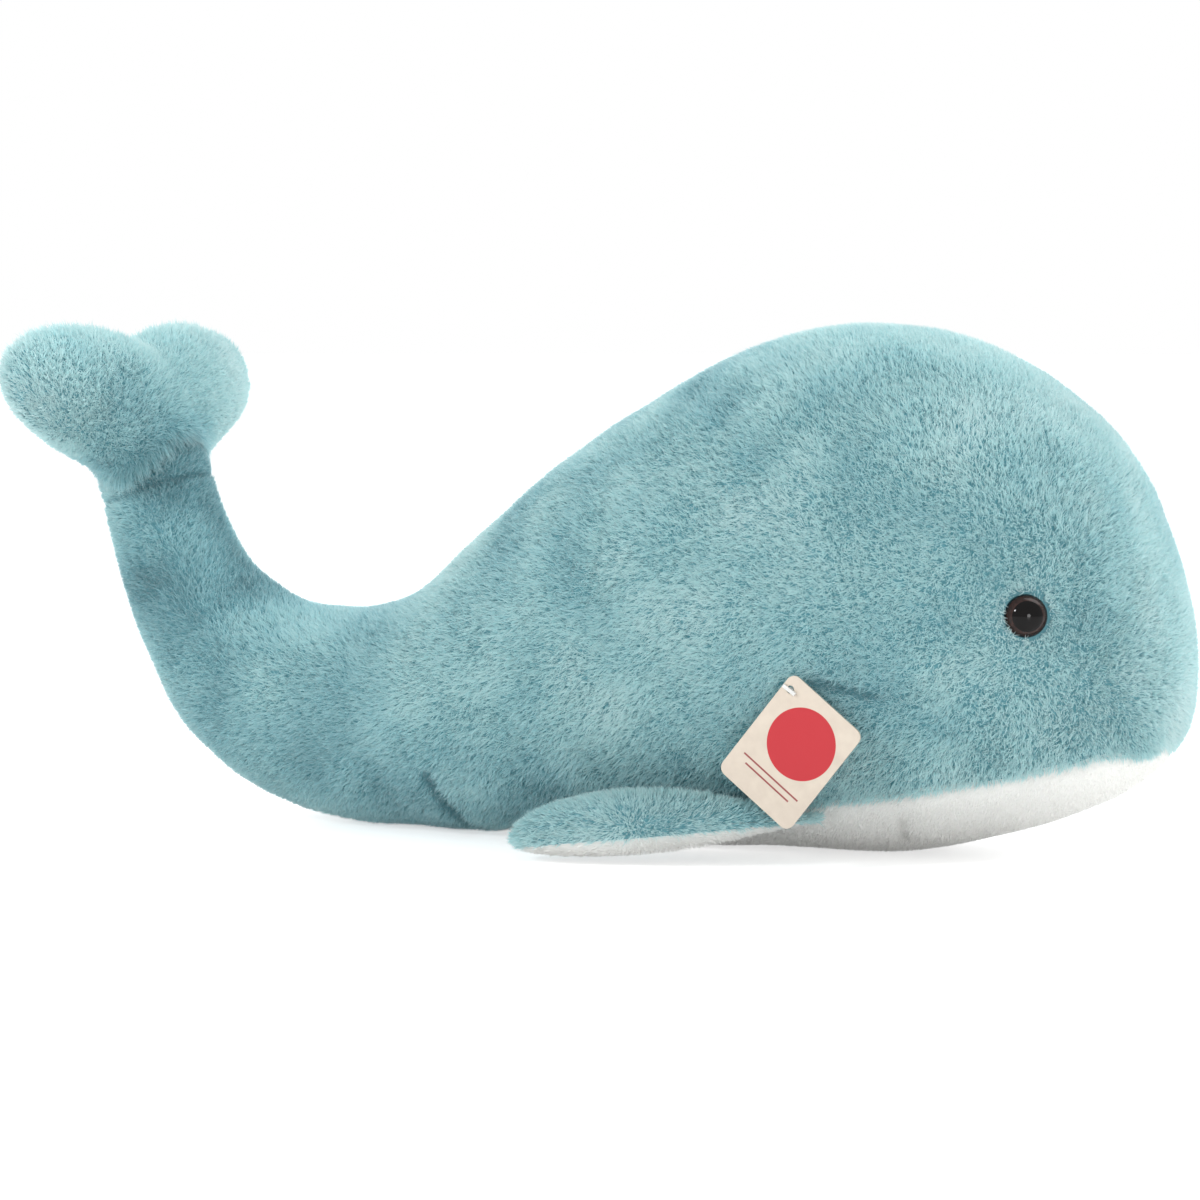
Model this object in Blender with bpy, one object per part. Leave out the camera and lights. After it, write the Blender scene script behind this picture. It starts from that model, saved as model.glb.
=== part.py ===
"""A plush whale that lies on its belly with its tail curled up behind it.

The head points along +X, +Z is up and the floor is at zero. The trunk, the tail, the
flukes and the flippers are fillings in pile skins. The outer face of a skin is where
the tips of its pile end, and its inner face is the back of its cloth.
"""

import math

import bmesh
import bpy
from mathutils import Matrix, Vector

# Clearances and cuts, in metres like every size below
GAP = 0.0003
FILLING_GAP = 0.0004
FLOOR_CUT = 0.0005
OVERRUN = 0.004
MERGE = 0.000001
SHARP_ANGLE = math.radians(40)

# Pile skins
BLUE_DEPTH = 0.006
WHITE_DEPTH = 0.004
BACKING = 0.0015
RIM_DEPTH = 0.004

# Trunk, from the fold behind the back to the nose
BODY_LENGTH = 0.286
BODY_HEIGHT = 0.170
BODY_WIDTH = 0.150
SADDLE_HEIGHT = 0.075
SADDLE_WIDTH = 0.084
SADDLE_LEAN = 0.026

# Tail, from the same fold to the waist below the flukes
TAIL_LENGTH = 0.0855
WAIST_HEIGHT = 0.1145
WAIST_RADIUS = 0.0198
WAIST_TILT = math.radians(17)

# Flukes
FLUKE_WIDTH = 0.156
FLUKE_LENGTH = 0.0565
FLUKE_THICKNESS = 0.041
FLUKE_CENTRE = 0.027
FLUKE_RUNNING_GAP = 0.0008

# Flippers
FLIPPER_LENGTH = 0.079
FLIPPER_WIDTH = 0.047
FLIPPER_RISE = 0.0142
FLIPPER_DROP = 0.0078
FLIPPER_TIP_HEIGHT = 0.0068
FLIPPER_STANDOFF = 0.0024
FLIPPER_WEB = 0.0008

# Eyes
EYE_DIAMETER = 0.0135
EYE_FLANGE = 0.0012
EYE_DOME = 0.0055
EYE_STEM_DIAMETER = 0.0044
EYE_STEM_TAIL = 0.0025
EYE_PILE_GAP = 0.0006
WASHER_DIAMETER = 0.0125
WASHER_THICKNESS = 0.0015
WASHER_STAND = 0.0024

# Tag and its fastener
TAG_LENGTH = 0.0400
TAG_WIDTH = 0.0302
TAG_THICKNESS = 0.0008
TAG_CORNER = 0.0028
TAG_HOLE_DIAMETER = 0.0026
TAG_HOLE_FROM_SIDE = 0.0028
TAG_HOLE_FROM_END = 0.0048
TAG_STANDOFF = 0.0026
PIN_THICKNESS = 0.0011
PIN_OUTER_BAR = 0.0048
PIN_INNER_BAR = 0.0080
PIN_SLACK = 0.0015
PIN_TURN = math.radians(35)

# How finely the forms are divided
SIDE_COLUMNS = 7
BELLY_COLUMNS = 5
ROWS_A_STATION = 2
DOME_ROWS = 3
FLUKE_STEPS = 1
FLUKE_ROWS = 4
FLIPPER_STEPS = 2
FLIPPER_ROWS = 3
ROUND_STEPS = 20
DOME_STEPS = 6
CORNER_STEPS = 5
CUTTER_STEPS = 20
SLOPE_STEP_SHARE = 0.02

# Stations of the tail from the waist to the saddle: top back, top rise, bottom back,
# bottom rise and half width. Back is a share of the tail's length behind the saddle.
TAIL_STATION_SHARES = (
    (0.750, 0.94, 1.135, 0.720, 0.07),
    (0.685, 0.61, 1.003, 0.485, 0.22),
    (0.600, 0.33, 0.828, 0.275, 0.38),
    (0.482, 0.13, 0.585, 0.127, 0.53),
    (0.351, 0.00, 0.304, 0.040, 0.67),
    (0.187, -0.03, -0.010, 0.000, 0.82),
)

# Stations of the trunk from the saddle to the nose: top forward, top height, bottom
# forward, bottom height, half width and the place of the belly seam on the half turn.
BODY_STATION_SHARES = (
    (0.084, 0.490, 0.154, 0.000, 0.667, 1.000),
    (0.175, 0.620, 0.225, 0.000, 0.760, 0.880),
    (0.274, 0.754, 0.309, 0.000, 0.840, 0.850),
    (0.379, 0.863, 0.400, 0.000, 0.907, 0.830),
    (0.484, 0.954, 0.491, 0.000, 0.960, 0.810),
    (0.589, 1.002, 0.582, 0.000, 1.000, 0.790),
    (0.688, 1.000, 0.674, 0.006, 1.000, 0.772),
    (0.779, 0.957, 0.761, 0.028, 0.960, 0.759),
    (0.856, 0.881, 0.842, 0.062, 0.885, 0.750),
    (0.916, 0.781, 0.912, 0.112, 0.765, 0.760),
    (0.955, 0.645, 0.958, 0.168, 0.600, 0.800),
    (0.985, 0.470, 0.986, 0.222, 0.375, 1.000),
    (1.000, 0.330, 1.000, 0.330, 0.000, 1.000),
)

# Fullness of a section, as the power of its superellipse, for the upper and lower half
ROUND_POWER_SHARE = 2.0
UPPER_POWER_SHARE = 2.15
LOWER_POWER_SHARE = 2.35

# How a pillow thins at its edge, as a power: a round edge has the first one
ROUND_EDGE_SHARE = 0.5

# Half outline of the flukes from the waist to the notch: along the axis and sideways
FLUKE_OUTLINE_SHARES = (
    (-0.20, 0.13),
    (-0.06, 0.23),
    (0.05, 0.31),
    (0.15, 0.46),
    (0.29, 0.70),
    (0.45, 0.91),
    (0.60, 1.00),
    (0.76, 1.00),
    (0.89, 0.91),
    (0.97, 0.71),
    (1.00, 0.49),
    (0.975, 0.27),
    (0.915, 0.09),
    (0.895, 0.00),
)

# Outline of a flipper from the back of its root round the tip: along the root as a
# share of the length, outward as a share of the width, and the power of its edge
FLIPPER_OUTLINE_SHARES = (
    (-0.200, -0.027, 1.80),
    (0.000, -0.036, 2.00),
    (0.200, -0.027, 1.70),
    (0.125, 0.200, 1.00),
    (-0.060, 0.450, 0.60),
    (-0.330, 0.760, 0.48),
    (-0.600, 0.960, 0.46),
    (-0.840, 1.010, 0.44),
    (-0.990, 0.850, 0.44),
    (-0.950, 0.600, 0.46),
    (-0.710, 0.340, 0.80),
    (-0.440, 0.140, 1.40),
)
FLIPPER_CENTRE_SHARES = (-0.50, 0.64)

# Places on the trunk, as a station and a share of the half turn from the top seam
EYE_STATION_SHARE = 9.57
EYE_TURN_SHARE = 0.483
PIN_STATION_SHARE = 6.55
PIN_TURN_SHARE = 0.585
FLIPPER_FRONT_SHARE = 6.7
FLIPPER_BACK_SHARE = 5.5

# Colours
BLUE = (0.20, 0.42, 0.46, 1.0)
WHITE = (0.86, 0.86, 0.84, 1.0)
STUFFING = (0.93, 0.93, 0.92, 1.0)
BLACK = (0.015, 0.012, 0.012, 1.0)
CREAM = (0.90, 0.86, 0.76, 1.0)
NYLON = (0.80, 0.80, 0.78, 1.0)
PLASTIC = (0.88, 0.88, 0.86, 1.0)


def clear_scene():
    """Remove every object that the file starts with."""
    for item in list(bpy.data.objects):
        bpy.data.objects.remove(item, do_unlink=True)


def material(name, colour, roughness, metallic=0.0):
    """A plain Principled material."""
    made = bpy.data.materials.new(name)
    made.use_nodes = True
    shader = made.node_tree.nodes["Principled BSDF"]
    shader.inputs["Base Color"].default_value = colour
    shader.inputs["Roughness"].default_value = roughness
    shader.inputs["Metallic"].default_value = metallic
    return made


def blue_plush(name):
    """Teal pile."""
    return material(name + "_blue_plush", BLUE, 0.95)


def white_plush(name):
    """White short pile."""
    return material(name + "_white_plush", WHITE, 0.95)


def stuffing(name):
    """White polyester fibre."""
    return material(name + "_stuffing", STUFFING, 1.0)


def eye_plastic(name):
    """Glossy black plastic."""
    return material(name + "_eye_plastic", BLACK, 0.08)


def washer_plastic(name):
    """White moulded plastic."""
    return material(name + "_washer_plastic", PLASTIC, 0.5)


def card(name):
    """Smooth cream card."""
    return material(name + "_card", CREAM, 0.55)


def nylon(name):
    """Clear nylon, seen as a milky grey."""
    return material(name + "_nylon", NYLON, 0.35)


def finish(bm, name, made, parent):
    """Turn a bmesh into a named, smooth-shaded object under a parent."""
    mesh = bpy.data.meshes.new(name)
    bm.to_mesh(mesh)
    bm.free()
    mesh.shade_smooth()
    mesh.set_sharp_from_angle(angle=SHARP_ANGLE)
    item = bpy.data.objects.new(name, mesh)
    bpy.context.scene.collection.objects.link(item)
    item.parent = parent
    if made:
        mesh.materials.append(made)
    return item


def empty(name, place, parent=None):
    """An empty that carries the pieces of one body."""
    item = bpy.data.objects.new(name, None)
    bpy.context.scene.collection.objects.link(item)
    item.parent = parent
    item.matrix_local = place
    return item


def cut_by(item, cutter):
    """Take a cutter's shape out of a piece."""
    cut = item.modifiers.new("cut_by_" + cutter.name, "BOOLEAN")
    cut.operation = "DIFFERENCE"
    cut.solver = "EXACT"
    cut.object = cutter


def hide(cutter):
    """Mark an object as a cutter."""
    cutter.hide_render = True
    cutter.display_type = "WIRE"
    return cutter


def catmull(before, start, end, after, t):
    """A smooth value between start and end, at t from 0 to 1."""
    linear = end - before
    square = 2 * before - 5 * start + 4 * end - after
    cube = 3 * start - before - 3 * end + after
    return start + 0.5 * t * (linear + t * (square + t * cube))


def waist_frame():
    """The centre of the waist, the tail's direction there and the direction to its front."""
    centre = Vector((-TAIL_LENGTH, 0, WAIST_HEIGHT))
    along = Vector((-math.sin(WAIST_TILT), 0, math.cos(WAIST_TILT)))
    front = Vector((math.cos(WAIST_TILT), 0, math.sin(WAIST_TILT)))
    return centre, along, front


def spine_stations():
    """Each station's top, bottom, half width, upper power, lower power and seam share."""
    centre, _, front = waist_frame()
    reach = front * WAIST_RADIUS
    round_share = ROUND_POWER_SHARE
    stations = [(centre + reach, centre - reach, WAIST_RADIUS, round_share, round_share, 1.0)]
    count = len(TAIL_STATION_SHARES)
    for index, (top_x, top_z, bottom_x, bottom_z, half) in enumerate(TAIL_STATION_SHARES):
        blend = (index + 1) / (count + 1)
        top = Vector((-top_x * TAIL_LENGTH, 0, SADDLE_HEIGHT + top_z * (WAIST_HEIGHT - SADDLE_HEIGHT)))
        bottom = Vector((-bottom_x * TAIL_LENGTH, 0, bottom_z * WAIST_HEIGHT - FLOOR_CUT))
        width = WAIST_RADIUS + half * (SADDLE_WIDTH / 2 - WAIST_RADIUS)
        upper = ROUND_POWER_SHARE + blend * (UPPER_POWER_SHARE - ROUND_POWER_SHARE)
        lower = ROUND_POWER_SHARE + blend * (LOWER_POWER_SHARE - ROUND_POWER_SHARE)
        stations.append((top, bottom, width, upper, lower, 1.0))
    saddle_top = Vector((0, 0, SADDLE_HEIGHT))
    saddle_bottom = Vector((SADDLE_LEAN, 0, -FLOOR_CUT))
    stations.append(
        (saddle_top, saddle_bottom, SADDLE_WIDTH / 2, UPPER_POWER_SHARE, LOWER_POWER_SHARE, 1.0)
    )
    for top_x, top_z, bottom_x, bottom_z, half, seam in BODY_STATION_SHARES:
        top = Vector((top_x * BODY_LENGTH, 0, top_z * BODY_HEIGHT))
        bottom = Vector((bottom_x * BODY_LENGTH, 0, bottom_z * BODY_HEIGHT - FLOOR_CUT))
        width = half * BODY_WIDTH / 2
        stations.append((top, bottom, width, UPPER_POWER_SHARE, LOWER_POWER_SHARE, seam))
    nose_top, nose_bottom = stations[-1][0], stations[-1][1]
    middle = (nose_top + nose_bottom) / 2
    stations[-1] = (middle, middle, 0.0) + stations[-1][3:]
    return stations


STATIONS = spine_stations()
SADDLE = len(TAIL_STATION_SHARES) + 1
NOSE = len(STATIONS) - 1
SEAMED = [index for index, station in enumerate(STATIONS) if station[5] < 1]
BELLY_BACK = SEAMED[0] - 1
BELLY_FRONT = SEAMED[-1] + 1


def neighbour(index):
    """A station, or the one that carries the spine on smoothly past either end."""
    if index < 0:
        first, second = STATIONS[0], STATIONS[1]
        return tuple(2 * a - b for a, b in zip(first, second))
    if index > NOSE:
        top, bottom, width, upper, lower, seam = STATIONS[2 * NOSE - index]
        return bottom, top, -width, upper, lower, seam
    return STATIONS[index]


def section(u):
    """The section at a place along the spine, counted in stations."""
    index = min(int(math.floor(u)), NOSE - 1)
    around = [neighbour(index + step) for step in (-1, 0, 1, 2)]
    found = [catmull(*values, u - index) for values in zip(*around)]
    found[5] = min(found[5], 1.0)
    return found


def seam_turn(u):
    """The angle from the top seam to the belly seam."""
    if u <= BELLY_BACK or u >= BELLY_FRONT:
        return math.pi
    return section(u)[5] * math.pi


def powered(value, power):
    """A sine or cosine raised to a superellipse's share, with its sign kept."""
    return math.copysign(abs(value) ** (2 / power), value)


def form_point(u, turn):
    """A point on the outer form of the tail and trunk, and on the dome past the waist."""
    if u < 0:
        centre, along, front = waist_frame()
        lift = min(-u, 1.0) * math.pi / 2
        side = front * math.cos(turn) + Vector((0, math.sin(turn), 0))
        return centre + WAIST_RADIUS * (math.sin(lift) * along + math.cos(lift) * side)
    top, bottom, width, upper, lower, _ = section(u)
    rise = math.cos(turn)
    power = upper if rise > 0 else lower
    across = Vector((0, width * powered(math.sin(turn), power), 0))
    return (top + bottom) / 2 + (top - bottom) / 2 * powered(rise, power) + across


def form_slopes(u, turn):
    """The directions along the spine and round it, and the outward normal."""
    step = SLOPE_STEP_SHARE
    along = form_point(min(u + step, NOSE), turn) - form_point(max(u - step, -1), turn)
    round_it = form_point(u, turn + step) - form_point(u, turn - step)
    normal = along.cross(round_it)
    if normal.length < MERGE * MERGE:
        pole = Vector((1, 0, 0)) if u > 0 else waist_frame()[1]
        return pole, Vector((0, 0, 0)), pole
    return along.normalized(), round_it.normalized(), normal.normalized()


def saddle_normal():
    """The direction across the fold between tail and trunk."""
    top, bottom = STATIONS[SADDLE][0], STATIONS[SADDLE][1]
    return Vector((0, 1, 0)).cross(top - bottom).normalized()


def inset_point(u, turn, depth):
    """A point a given depth below the outer form. At the fold it stays in its plane."""
    inward = -form_slopes(u, turn)[2]
    if u == SADDLE:
        across = saddle_normal()
        inward = (inward - inward.dot(across) * across).normalized()
    return form_point(u, turn) + depth * inward


def blue_depth(u, at_belly_seam):
    """How deep a blue skin is: it thins to the white one at the belly seam."""
    if at_belly_seam and BELLY_BACK <= u <= BELLY_FRONT:
        return WHITE_DEPTH
    return BLUE_DEPTH


def grid_sheet(columns, rows, place):
    """A bmesh grid whose vertices know their column and row and lie where place says.

    Its squares are split while it is flat, so that two sheets with the same columns
    and rows are split alike.
    """
    bm = bmesh.new()
    bmesh.ops.create_grid(bm, x_segments=columns, y_segments=rows, size=1)
    bmesh.ops.triangulate(bm, faces=bm.faces[:], quad_method="FIXED")
    column_of = bm.verts.layers.int.new("column")
    row_of = bm.verts.layers.int.new("row")
    for vert in bm.verts:
        vert[column_of] = round((vert.co.x + 1) / 2 * columns)
        vert[row_of] = round((vert.co.y + 1) / 2 * rows)
    for vert in bm.verts:
        vert.co = place(vert[column_of], vert[row_of])
    bmesh.ops.remove_doubles(bm, verts=bm.verts[:], dist=MERGE)
    return bm, column_of, row_of


def close_up(bm, on_floor):
    """Finish a form: cut it flat at the floor if it stands there.

    The faces between its two sheets are split along their short diagonals, which are
    the same ones on the piece that lies against them.
    """
    bmesh.ops.triangulate(bm, faces=bm.faces[:], quad_method="SHORT_EDGE")
    bmesh.ops.recalc_face_normals(bm, faces=bm.faces[:])
    if on_floor:
        everything = bm.verts[:] + bm.edges[:] + bm.faces[:]
        bmesh.ops.bisect_plane(bm, geom=everything, plane_co=(0, 0, 0), plane_no=(0, 0, 1), clear_inner=True)
        rims = [edge for edge in bm.edges if edge.is_boundary]
        bmesh.ops.holes_fill(bm, edges=rims, sides=0)
        bmesh.ops.triangulate(bm, faces=bm.faces[:])
        bmesh.ops.recalc_face_normals(bm, faces=bm.faces[:])


def shell(name, columns, rows, outer, inner, made, parent, on_floor=False):
    """A closed skin between an outer and an inner sheet of one grid."""
    bm, column_of, row_of = grid_sheet(columns, rows, outer)
    grown = bmesh.ops.extrude_face_region(bm, geom=bm.faces[:], use_keep_orig=True)
    for vert in grown["geom"]:
        if isinstance(vert, bmesh.types.BMVert):
            vert.co = inner(vert[column_of], vert[row_of])
    close_up(bm, on_floor)
    return finish(bm, name, made, parent)


def solid(name, columns, rows, place, made, parent):
    """A closed filling whose grid wraps round and ends in poles."""
    bm, _, _ = grid_sheet(columns, rows, place)
    close_up(bm, False)
    return finish(bm, name, made, parent)


def spine_rows(first, last):
    """Places along the spine from one station to another."""
    count = int(round((last - first) * ROWS_A_STATION))
    return [first + index * (last - first) / count for index in range(count + 1)]


def side_skin(name, side, first, last, made, parent):
    """One side's skin of the trunk or tail, from the top seam to the belly seam.

    The columns of both sides run the same way as those of the filling.
    """
    rows = spine_rows(max(first, 0), last)
    if first < 0:
        rows = [first + index / DOME_ROWS for index in range(DOME_ROWS)] + rows
    across = saddle_normal()

    def place(column, row, inner):
        u = rows[row]
        share = column / SIDE_COLUMNS if side > 0 else column / SIDE_COLUMNS - 1
        turn = share * seam_turn(u)
        at_top = share == 0
        at_seam = abs(share) == 1
        depth = blue_depth(u, at_seam) if inner else 0
        point = inset_point(u, turn, depth)
        if u in (-1, NOSE):
            point.y = side * GAP / 2
        elif at_top:
            point.y = side * GAP / 2
        elif at_seam:
            point -= side * GAP / 2 * form_slopes(u, turn)[1]
        if u == SADDLE:
            point += across * (GAP / 2 if last > SADDLE else -GAP / 2)
        return point

    def outer(column, row):
        return place(column, row, False)

    def inner(column, row):
        return place(column, row, True)

    return shell(name, SIDE_COLUMNS, len(rows) - 1, outer, inner, made, parent, on_floor=True)


def belly_skin(name, made, parent):
    """The white skin of the underside, pointed at both ends."""
    rows = spine_rows(BELLY_BACK, BELLY_FRONT)

    def place(column, row, depth):
        u = rows[row]
        start = seam_turn(u)
        share = column / BELLY_COLUMNS
        turn = start + share * 2 * (math.pi - start)
        point = inset_point(u, turn, depth)
        if u == BELLY_BACK:
            return point + GAP * form_slopes(u, turn)[0]
        if u == BELLY_FRONT:
            return point - GAP * form_slopes(u, turn)[0]
        if share == 0:
            return point + GAP / 2 * form_slopes(u, turn)[1]
        if share == 1:
            return point - GAP / 2 * form_slopes(u, turn)[1]
        return point

    def outer(column, row):
        return place(column, row, 0)

    def inner(column, row):
        return place(column, row, WHITE_DEPTH)

    return shell(name, BELLY_COLUMNS, len(rows) - 1, outer, inner, made, parent, on_floor=True)


def spine_filling(name, first, last, made, parent):
    """The filling of the trunk or tail, closed at the fold by a fan about its middle."""
    rows = spine_rows(max(first, 0), last)
    if first < 0:
        rows = [first + index / DOME_ROWS for index in range(DOME_ROWS)] + rows
        fan_row = len(rows)
    else:
        rows = [first] + rows
        fan_row = 0
    columns = 2 * SIDE_COLUMNS + BELLY_COLUMNS
    across = saddle_normal() * (GAP / 2 if last > SADDLE else -GAP / 2)
    top, bottom = STATIONS[SADDLE][0], STATIONS[SADDLE][1]

    def place(column, row):
        if row == fan_row:
            return (top + bottom) / 2 + across
        u = rows[row]
        start = seam_turn(u)
        if column <= SIDE_COLUMNS:
            turn = start * column / SIDE_COLUMNS
        elif column <= SIDE_COLUMNS + BELLY_COLUMNS:
            share = (column - SIDE_COLUMNS) / BELLY_COLUMNS
            turn = start + share * 2 * (math.pi - start)
        else:
            turn = 2 * math.pi - start * (columns - column) / SIDE_COLUMNS
        in_belly = SIDE_COLUMNS <= column <= SIDE_COLUMNS + BELLY_COLUMNS
        point = inset_point(u, turn, blue_depth(u, in_belly) + FILLING_GAP)
        if u == SADDLE:
            point += across
        return point

    count = len(rows) if fan_row else len(rows) - 1
    return solid(name, columns, count, place, made, parent)


def smooth_outline(points, steps):
    """A closed outline that passes through the points."""
    count = len(points)
    found = []
    for index in range(count):
        around = [points[(index + step) % count] for step in (-1, 0, 1, 2)]
        for part in range(steps):
            found.append(tuple(catmull(*values, part / steps) for values in zip(*around)))
    return found


class Pillow:
    """A stuffed form between two panels that meet in a flat outline."""

    def __init__(self, points, steps, rows, centre, rise, drop, web=0.0):
        self.outline = smooth_outline(points, steps)
        self.rows = rows
        self.centre = Vector((centre[0], centre[1], 0))
        self.swell = {1: rise, -1: drop}
        self.web = web

    def place(self, column, share, inset, depth, side, gap=0.0):
        """A point at a share of the way from the middle to the outline.

        The gap keeps it away from the panels on the inside.
        """
        x, y, power = self.outline[column % len(self.outline)]
        rim = Vector((x, y, 0))
        reach = (rim - self.centre).length
        flat = self.centre.lerp(rim, share * (1 - (inset + gap) / reach))
        web = self.web * share * share * max(power - ROUND_EDGE_SHARE, 0)
        height = (self.swell[side] - depth) * (1 - share * share) ** power
        return flat + Vector((0, 0, side * max(height + web - gap, 0)))

    def panel(self, name, side, depth, made, parent):
        """One panel of the pillow, on the side of +1 or -1.

        Its rows run the same way as those of the filling.
        """
        columns = len(self.outline)

        def sheet(column, row, inset, below):
            share = row / self.rows if side > 0 else 1 - row / self.rows
            point = self.place(column, share, inset, below, side)
            point.z = side * max(abs(point.z), GAP / 2)
            return point

        def outer(column, row):
            return sheet(column, row, 0, 0)

        def inner(column, row):
            return sheet(column, row, RIM_DEPTH, depth)

        return shell(name, columns, self.rows, outer, inner, made, parent)

    def filling(self, name, upper_depth, lower_depth, made, parent):
        """What both panels hold between them."""
        columns = len(self.outline)
        rows = 2 * self.rows

        def place(column, row):
            side = 1 if row <= self.rows else -1
            depth = upper_depth if side > 0 else lower_depth
            share = 1 - abs(row - self.rows) / self.rows
            return self.place(column, share, RIM_DEPTH, depth, side, FILLING_GAP)

        return solid(name, columns, rows, place, made, parent)


def turned(name, profile, steps, made, parent):
    """A solid of revolution about Z from a closed profile of radius and height."""
    bm = bmesh.new()
    verts = [bm.verts.new((radius, 0, height)) for radius, height in profile]
    pairs = [(verts[index - 1], verts[index]) for index in range(len(verts))]
    edges = [bm.edges.new(pair) for pair in pairs if pair[0].co.x + pair[1].co.x > 0]
    bmesh.ops.spin(
        bm,
        geom=verts + edges,
        cent=(0, 0, 0),
        axis=(0, 0, 1),
        dvec=(0, 0, 0),
        angle=2 * math.pi,
        steps=steps,
        use_merge=True,
        use_duplicate=False,
    )
    bmesh.ops.remove_doubles(bm, verts=bm.verts[:], dist=MERGE)
    bmesh.ops.recalc_face_normals(bm, faces=bm.faces[:])
    return finish(bm, name, made, parent)


def surface_frame(u, turn):
    """A frame on the outer form, with Z outward and X along the spine."""
    along, round_it, normal = form_slopes(u, turn)
    side = normal.cross(along).normalized()
    frame = Matrix((side.cross(normal), side, normal)).transposed().to_4x4()
    frame.translation = form_point(u, turn)
    return frame


def trunk(parent):
    """The skins and fillings of the trunk and the tail."""
    left = side_skin("body_side_left", 1, SADDLE, NOSE, blue_plush("body_side_left"), parent)
    right = side_skin("body_side_right", -1, SADDLE, NOSE, blue_plush("body_side_right"), parent)
    belly_skin("belly_panel", white_plush("belly_panel"), parent)
    side_skin("tail_cover_left", 1, -1, SADDLE, blue_plush("tail_cover_left"), parent)
    side_skin("tail_cover_right", -1, -1, SADDLE, blue_plush("tail_cover_right"), parent)
    filling = spine_filling("body_filling", SADDLE, NOSE, stuffing("body_filling"), parent)
    spine_filling("tail_filling", -1, SADDLE, stuffing("tail_filling"), parent)
    return left, right, filling


def eye(side_name, side, skin, filling, parent):
    """A safety eye in its recess, its washer, and the cuts that take them."""
    u = SADDLE + EYE_STATION_SHARE
    seat = empty("eye_seat_" + side_name, surface_frame(u, side * EYE_TURN_SHARE * math.pi), parent)
    radius = EYE_DIAMETER / 2
    stem = EYE_STEM_DIAMETER / 2
    floor = -(BLUE_DEPTH - BACKING)
    base = floor + GAP
    washer_top = -(BLUE_DEPTH + WASHER_STAND)
    stem_end = washer_top - WASHER_THICKNESS - EYE_STEM_TAIL
    rim = base + EYE_FLANGE
    lifts = [index / DOME_STEPS * math.pi / 2 for index in range(DOME_STEPS)]
    dome = [(radius * math.cos(lift), rim + EYE_DOME * math.sin(lift)) for lift in lifts]
    profile = [(0, stem_end), (stem, stem_end), (stem, base), (radius, base)] + dome + [(0, rim + EYE_DOME)]
    name = "eye_" + side_name
    turned(name, profile, ROUND_STEPS, eye_plastic(name), seat)
    hole = stem + GAP
    name = "eye_washer_" + side_name
    washer_bottom = washer_top - WASHER_THICKNESS
    edge = WASHER_DIAMETER / 2
    ring = [(hole, washer_bottom), (edge, washer_bottom), (edge, washer_top), (hole, washer_top)]
    turned(name, ring, ROUND_STEPS, washer_plastic(name), seat)
    recess = radius + EYE_PILE_GAP
    above = EYE_DOME + OVERRUN
    below = -(BLUE_DEPTH + OVERRUN)
    cut = [(0, below), (hole, below), (hole, floor), (recess, floor), (recess, above), (0, above)]
    cut_by(skin, hide(turned("eye_recess_" + side_name, cut, CUTTER_STEPS, None, seat)))
    pocket = edge + FILLING_GAP
    pocket_end = stem_end - FILLING_GAP
    cut = [(0, pocket_end), (pocket, pocket_end), (pocket, above), (0, above)]
    cut_by(filling, hide(turned("eye_pocket_" + side_name, cut, CUTTER_STEPS, None, seat)))


def flukes(trunk_body):
    """The tail flukes, seated on the dome at the end of the tail."""
    centre, along, front = waist_frame()
    frame = Matrix((along, Vector((0, 1, 0)), front)).transposed().to_4x4()
    frame.translation = centre
    body = empty("flukes", frame, trunk_body)
    half = [
        (x * FLUKE_LENGTH, y * FLUKE_WIDTH / 2, ROUND_EDGE_SHARE) for x, y in FLUKE_OUTLINE_SHARES
    ]
    mirrored = [(x, -y, power) for x, y, power in reversed(half[:-1])]
    outline = half + mirrored
    thick = FLUKE_THICKNESS / 2
    pillow = Pillow(outline, FLUKE_STEPS, FLUKE_ROWS, (FLUKE_CENTRE, 0), thick, thick)
    upper = pillow.panel("fluke_upper_panel", 1, BLUE_DEPTH, blue_plush("fluke_upper_panel"), body)
    lower = pillow.panel("fluke_lower_panel", -1, BLUE_DEPTH, blue_plush("fluke_lower_panel"), body)
    inside = pillow.filling("fluke_filling", BLUE_DEPTH, BLUE_DEPTH, stuffing("fluke_filling"), body)
    radius = WAIST_RADIUS + FLUKE_RUNNING_GAP
    bm = bmesh.new()
    bmesh.ops.create_uvsphere(bm, u_segments=CUTTER_STEPS, v_segments=CUTTER_STEPS // 2, radius=radius)
    ball = hide(finish(bm, "waist_ball", None, body))
    for item in (upper, lower, inside):
        cut_by(item, ball)
    return body


def flipper_frame(side):
    """The flipper's frame: X forward along its hinge, Y to the whale's left, Z up."""
    front_u = SADDLE + FLIPPER_FRONT_SHARE
    back_u = SADDLE + FLIPPER_BACK_SHARE
    ends = []
    for u in (back_u, front_u):
        turn = side * seam_turn(u)
        normal = form_slopes(u, turn)[2]
        ends.append(form_point(u, turn) + FLIPPER_STANDOFF * normal)
    back, front = ends
    middle = (back + front) / 2
    along = (front - back).normalized()
    level = Vector((-along.y, along.x, 0)).normalized()
    tip = middle - FLIPPER_LENGTH * along + side * FLIPPER_WIDTH * level
    tip.z = FLIPPER_TIP_HEIGHT
    across = side * (tip - middle)
    across = (across - across.dot(along) * along).normalized()
    frame = Matrix((along, across, along.cross(across))).transposed().to_4x4()
    frame.translation = middle
    return frame


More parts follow.
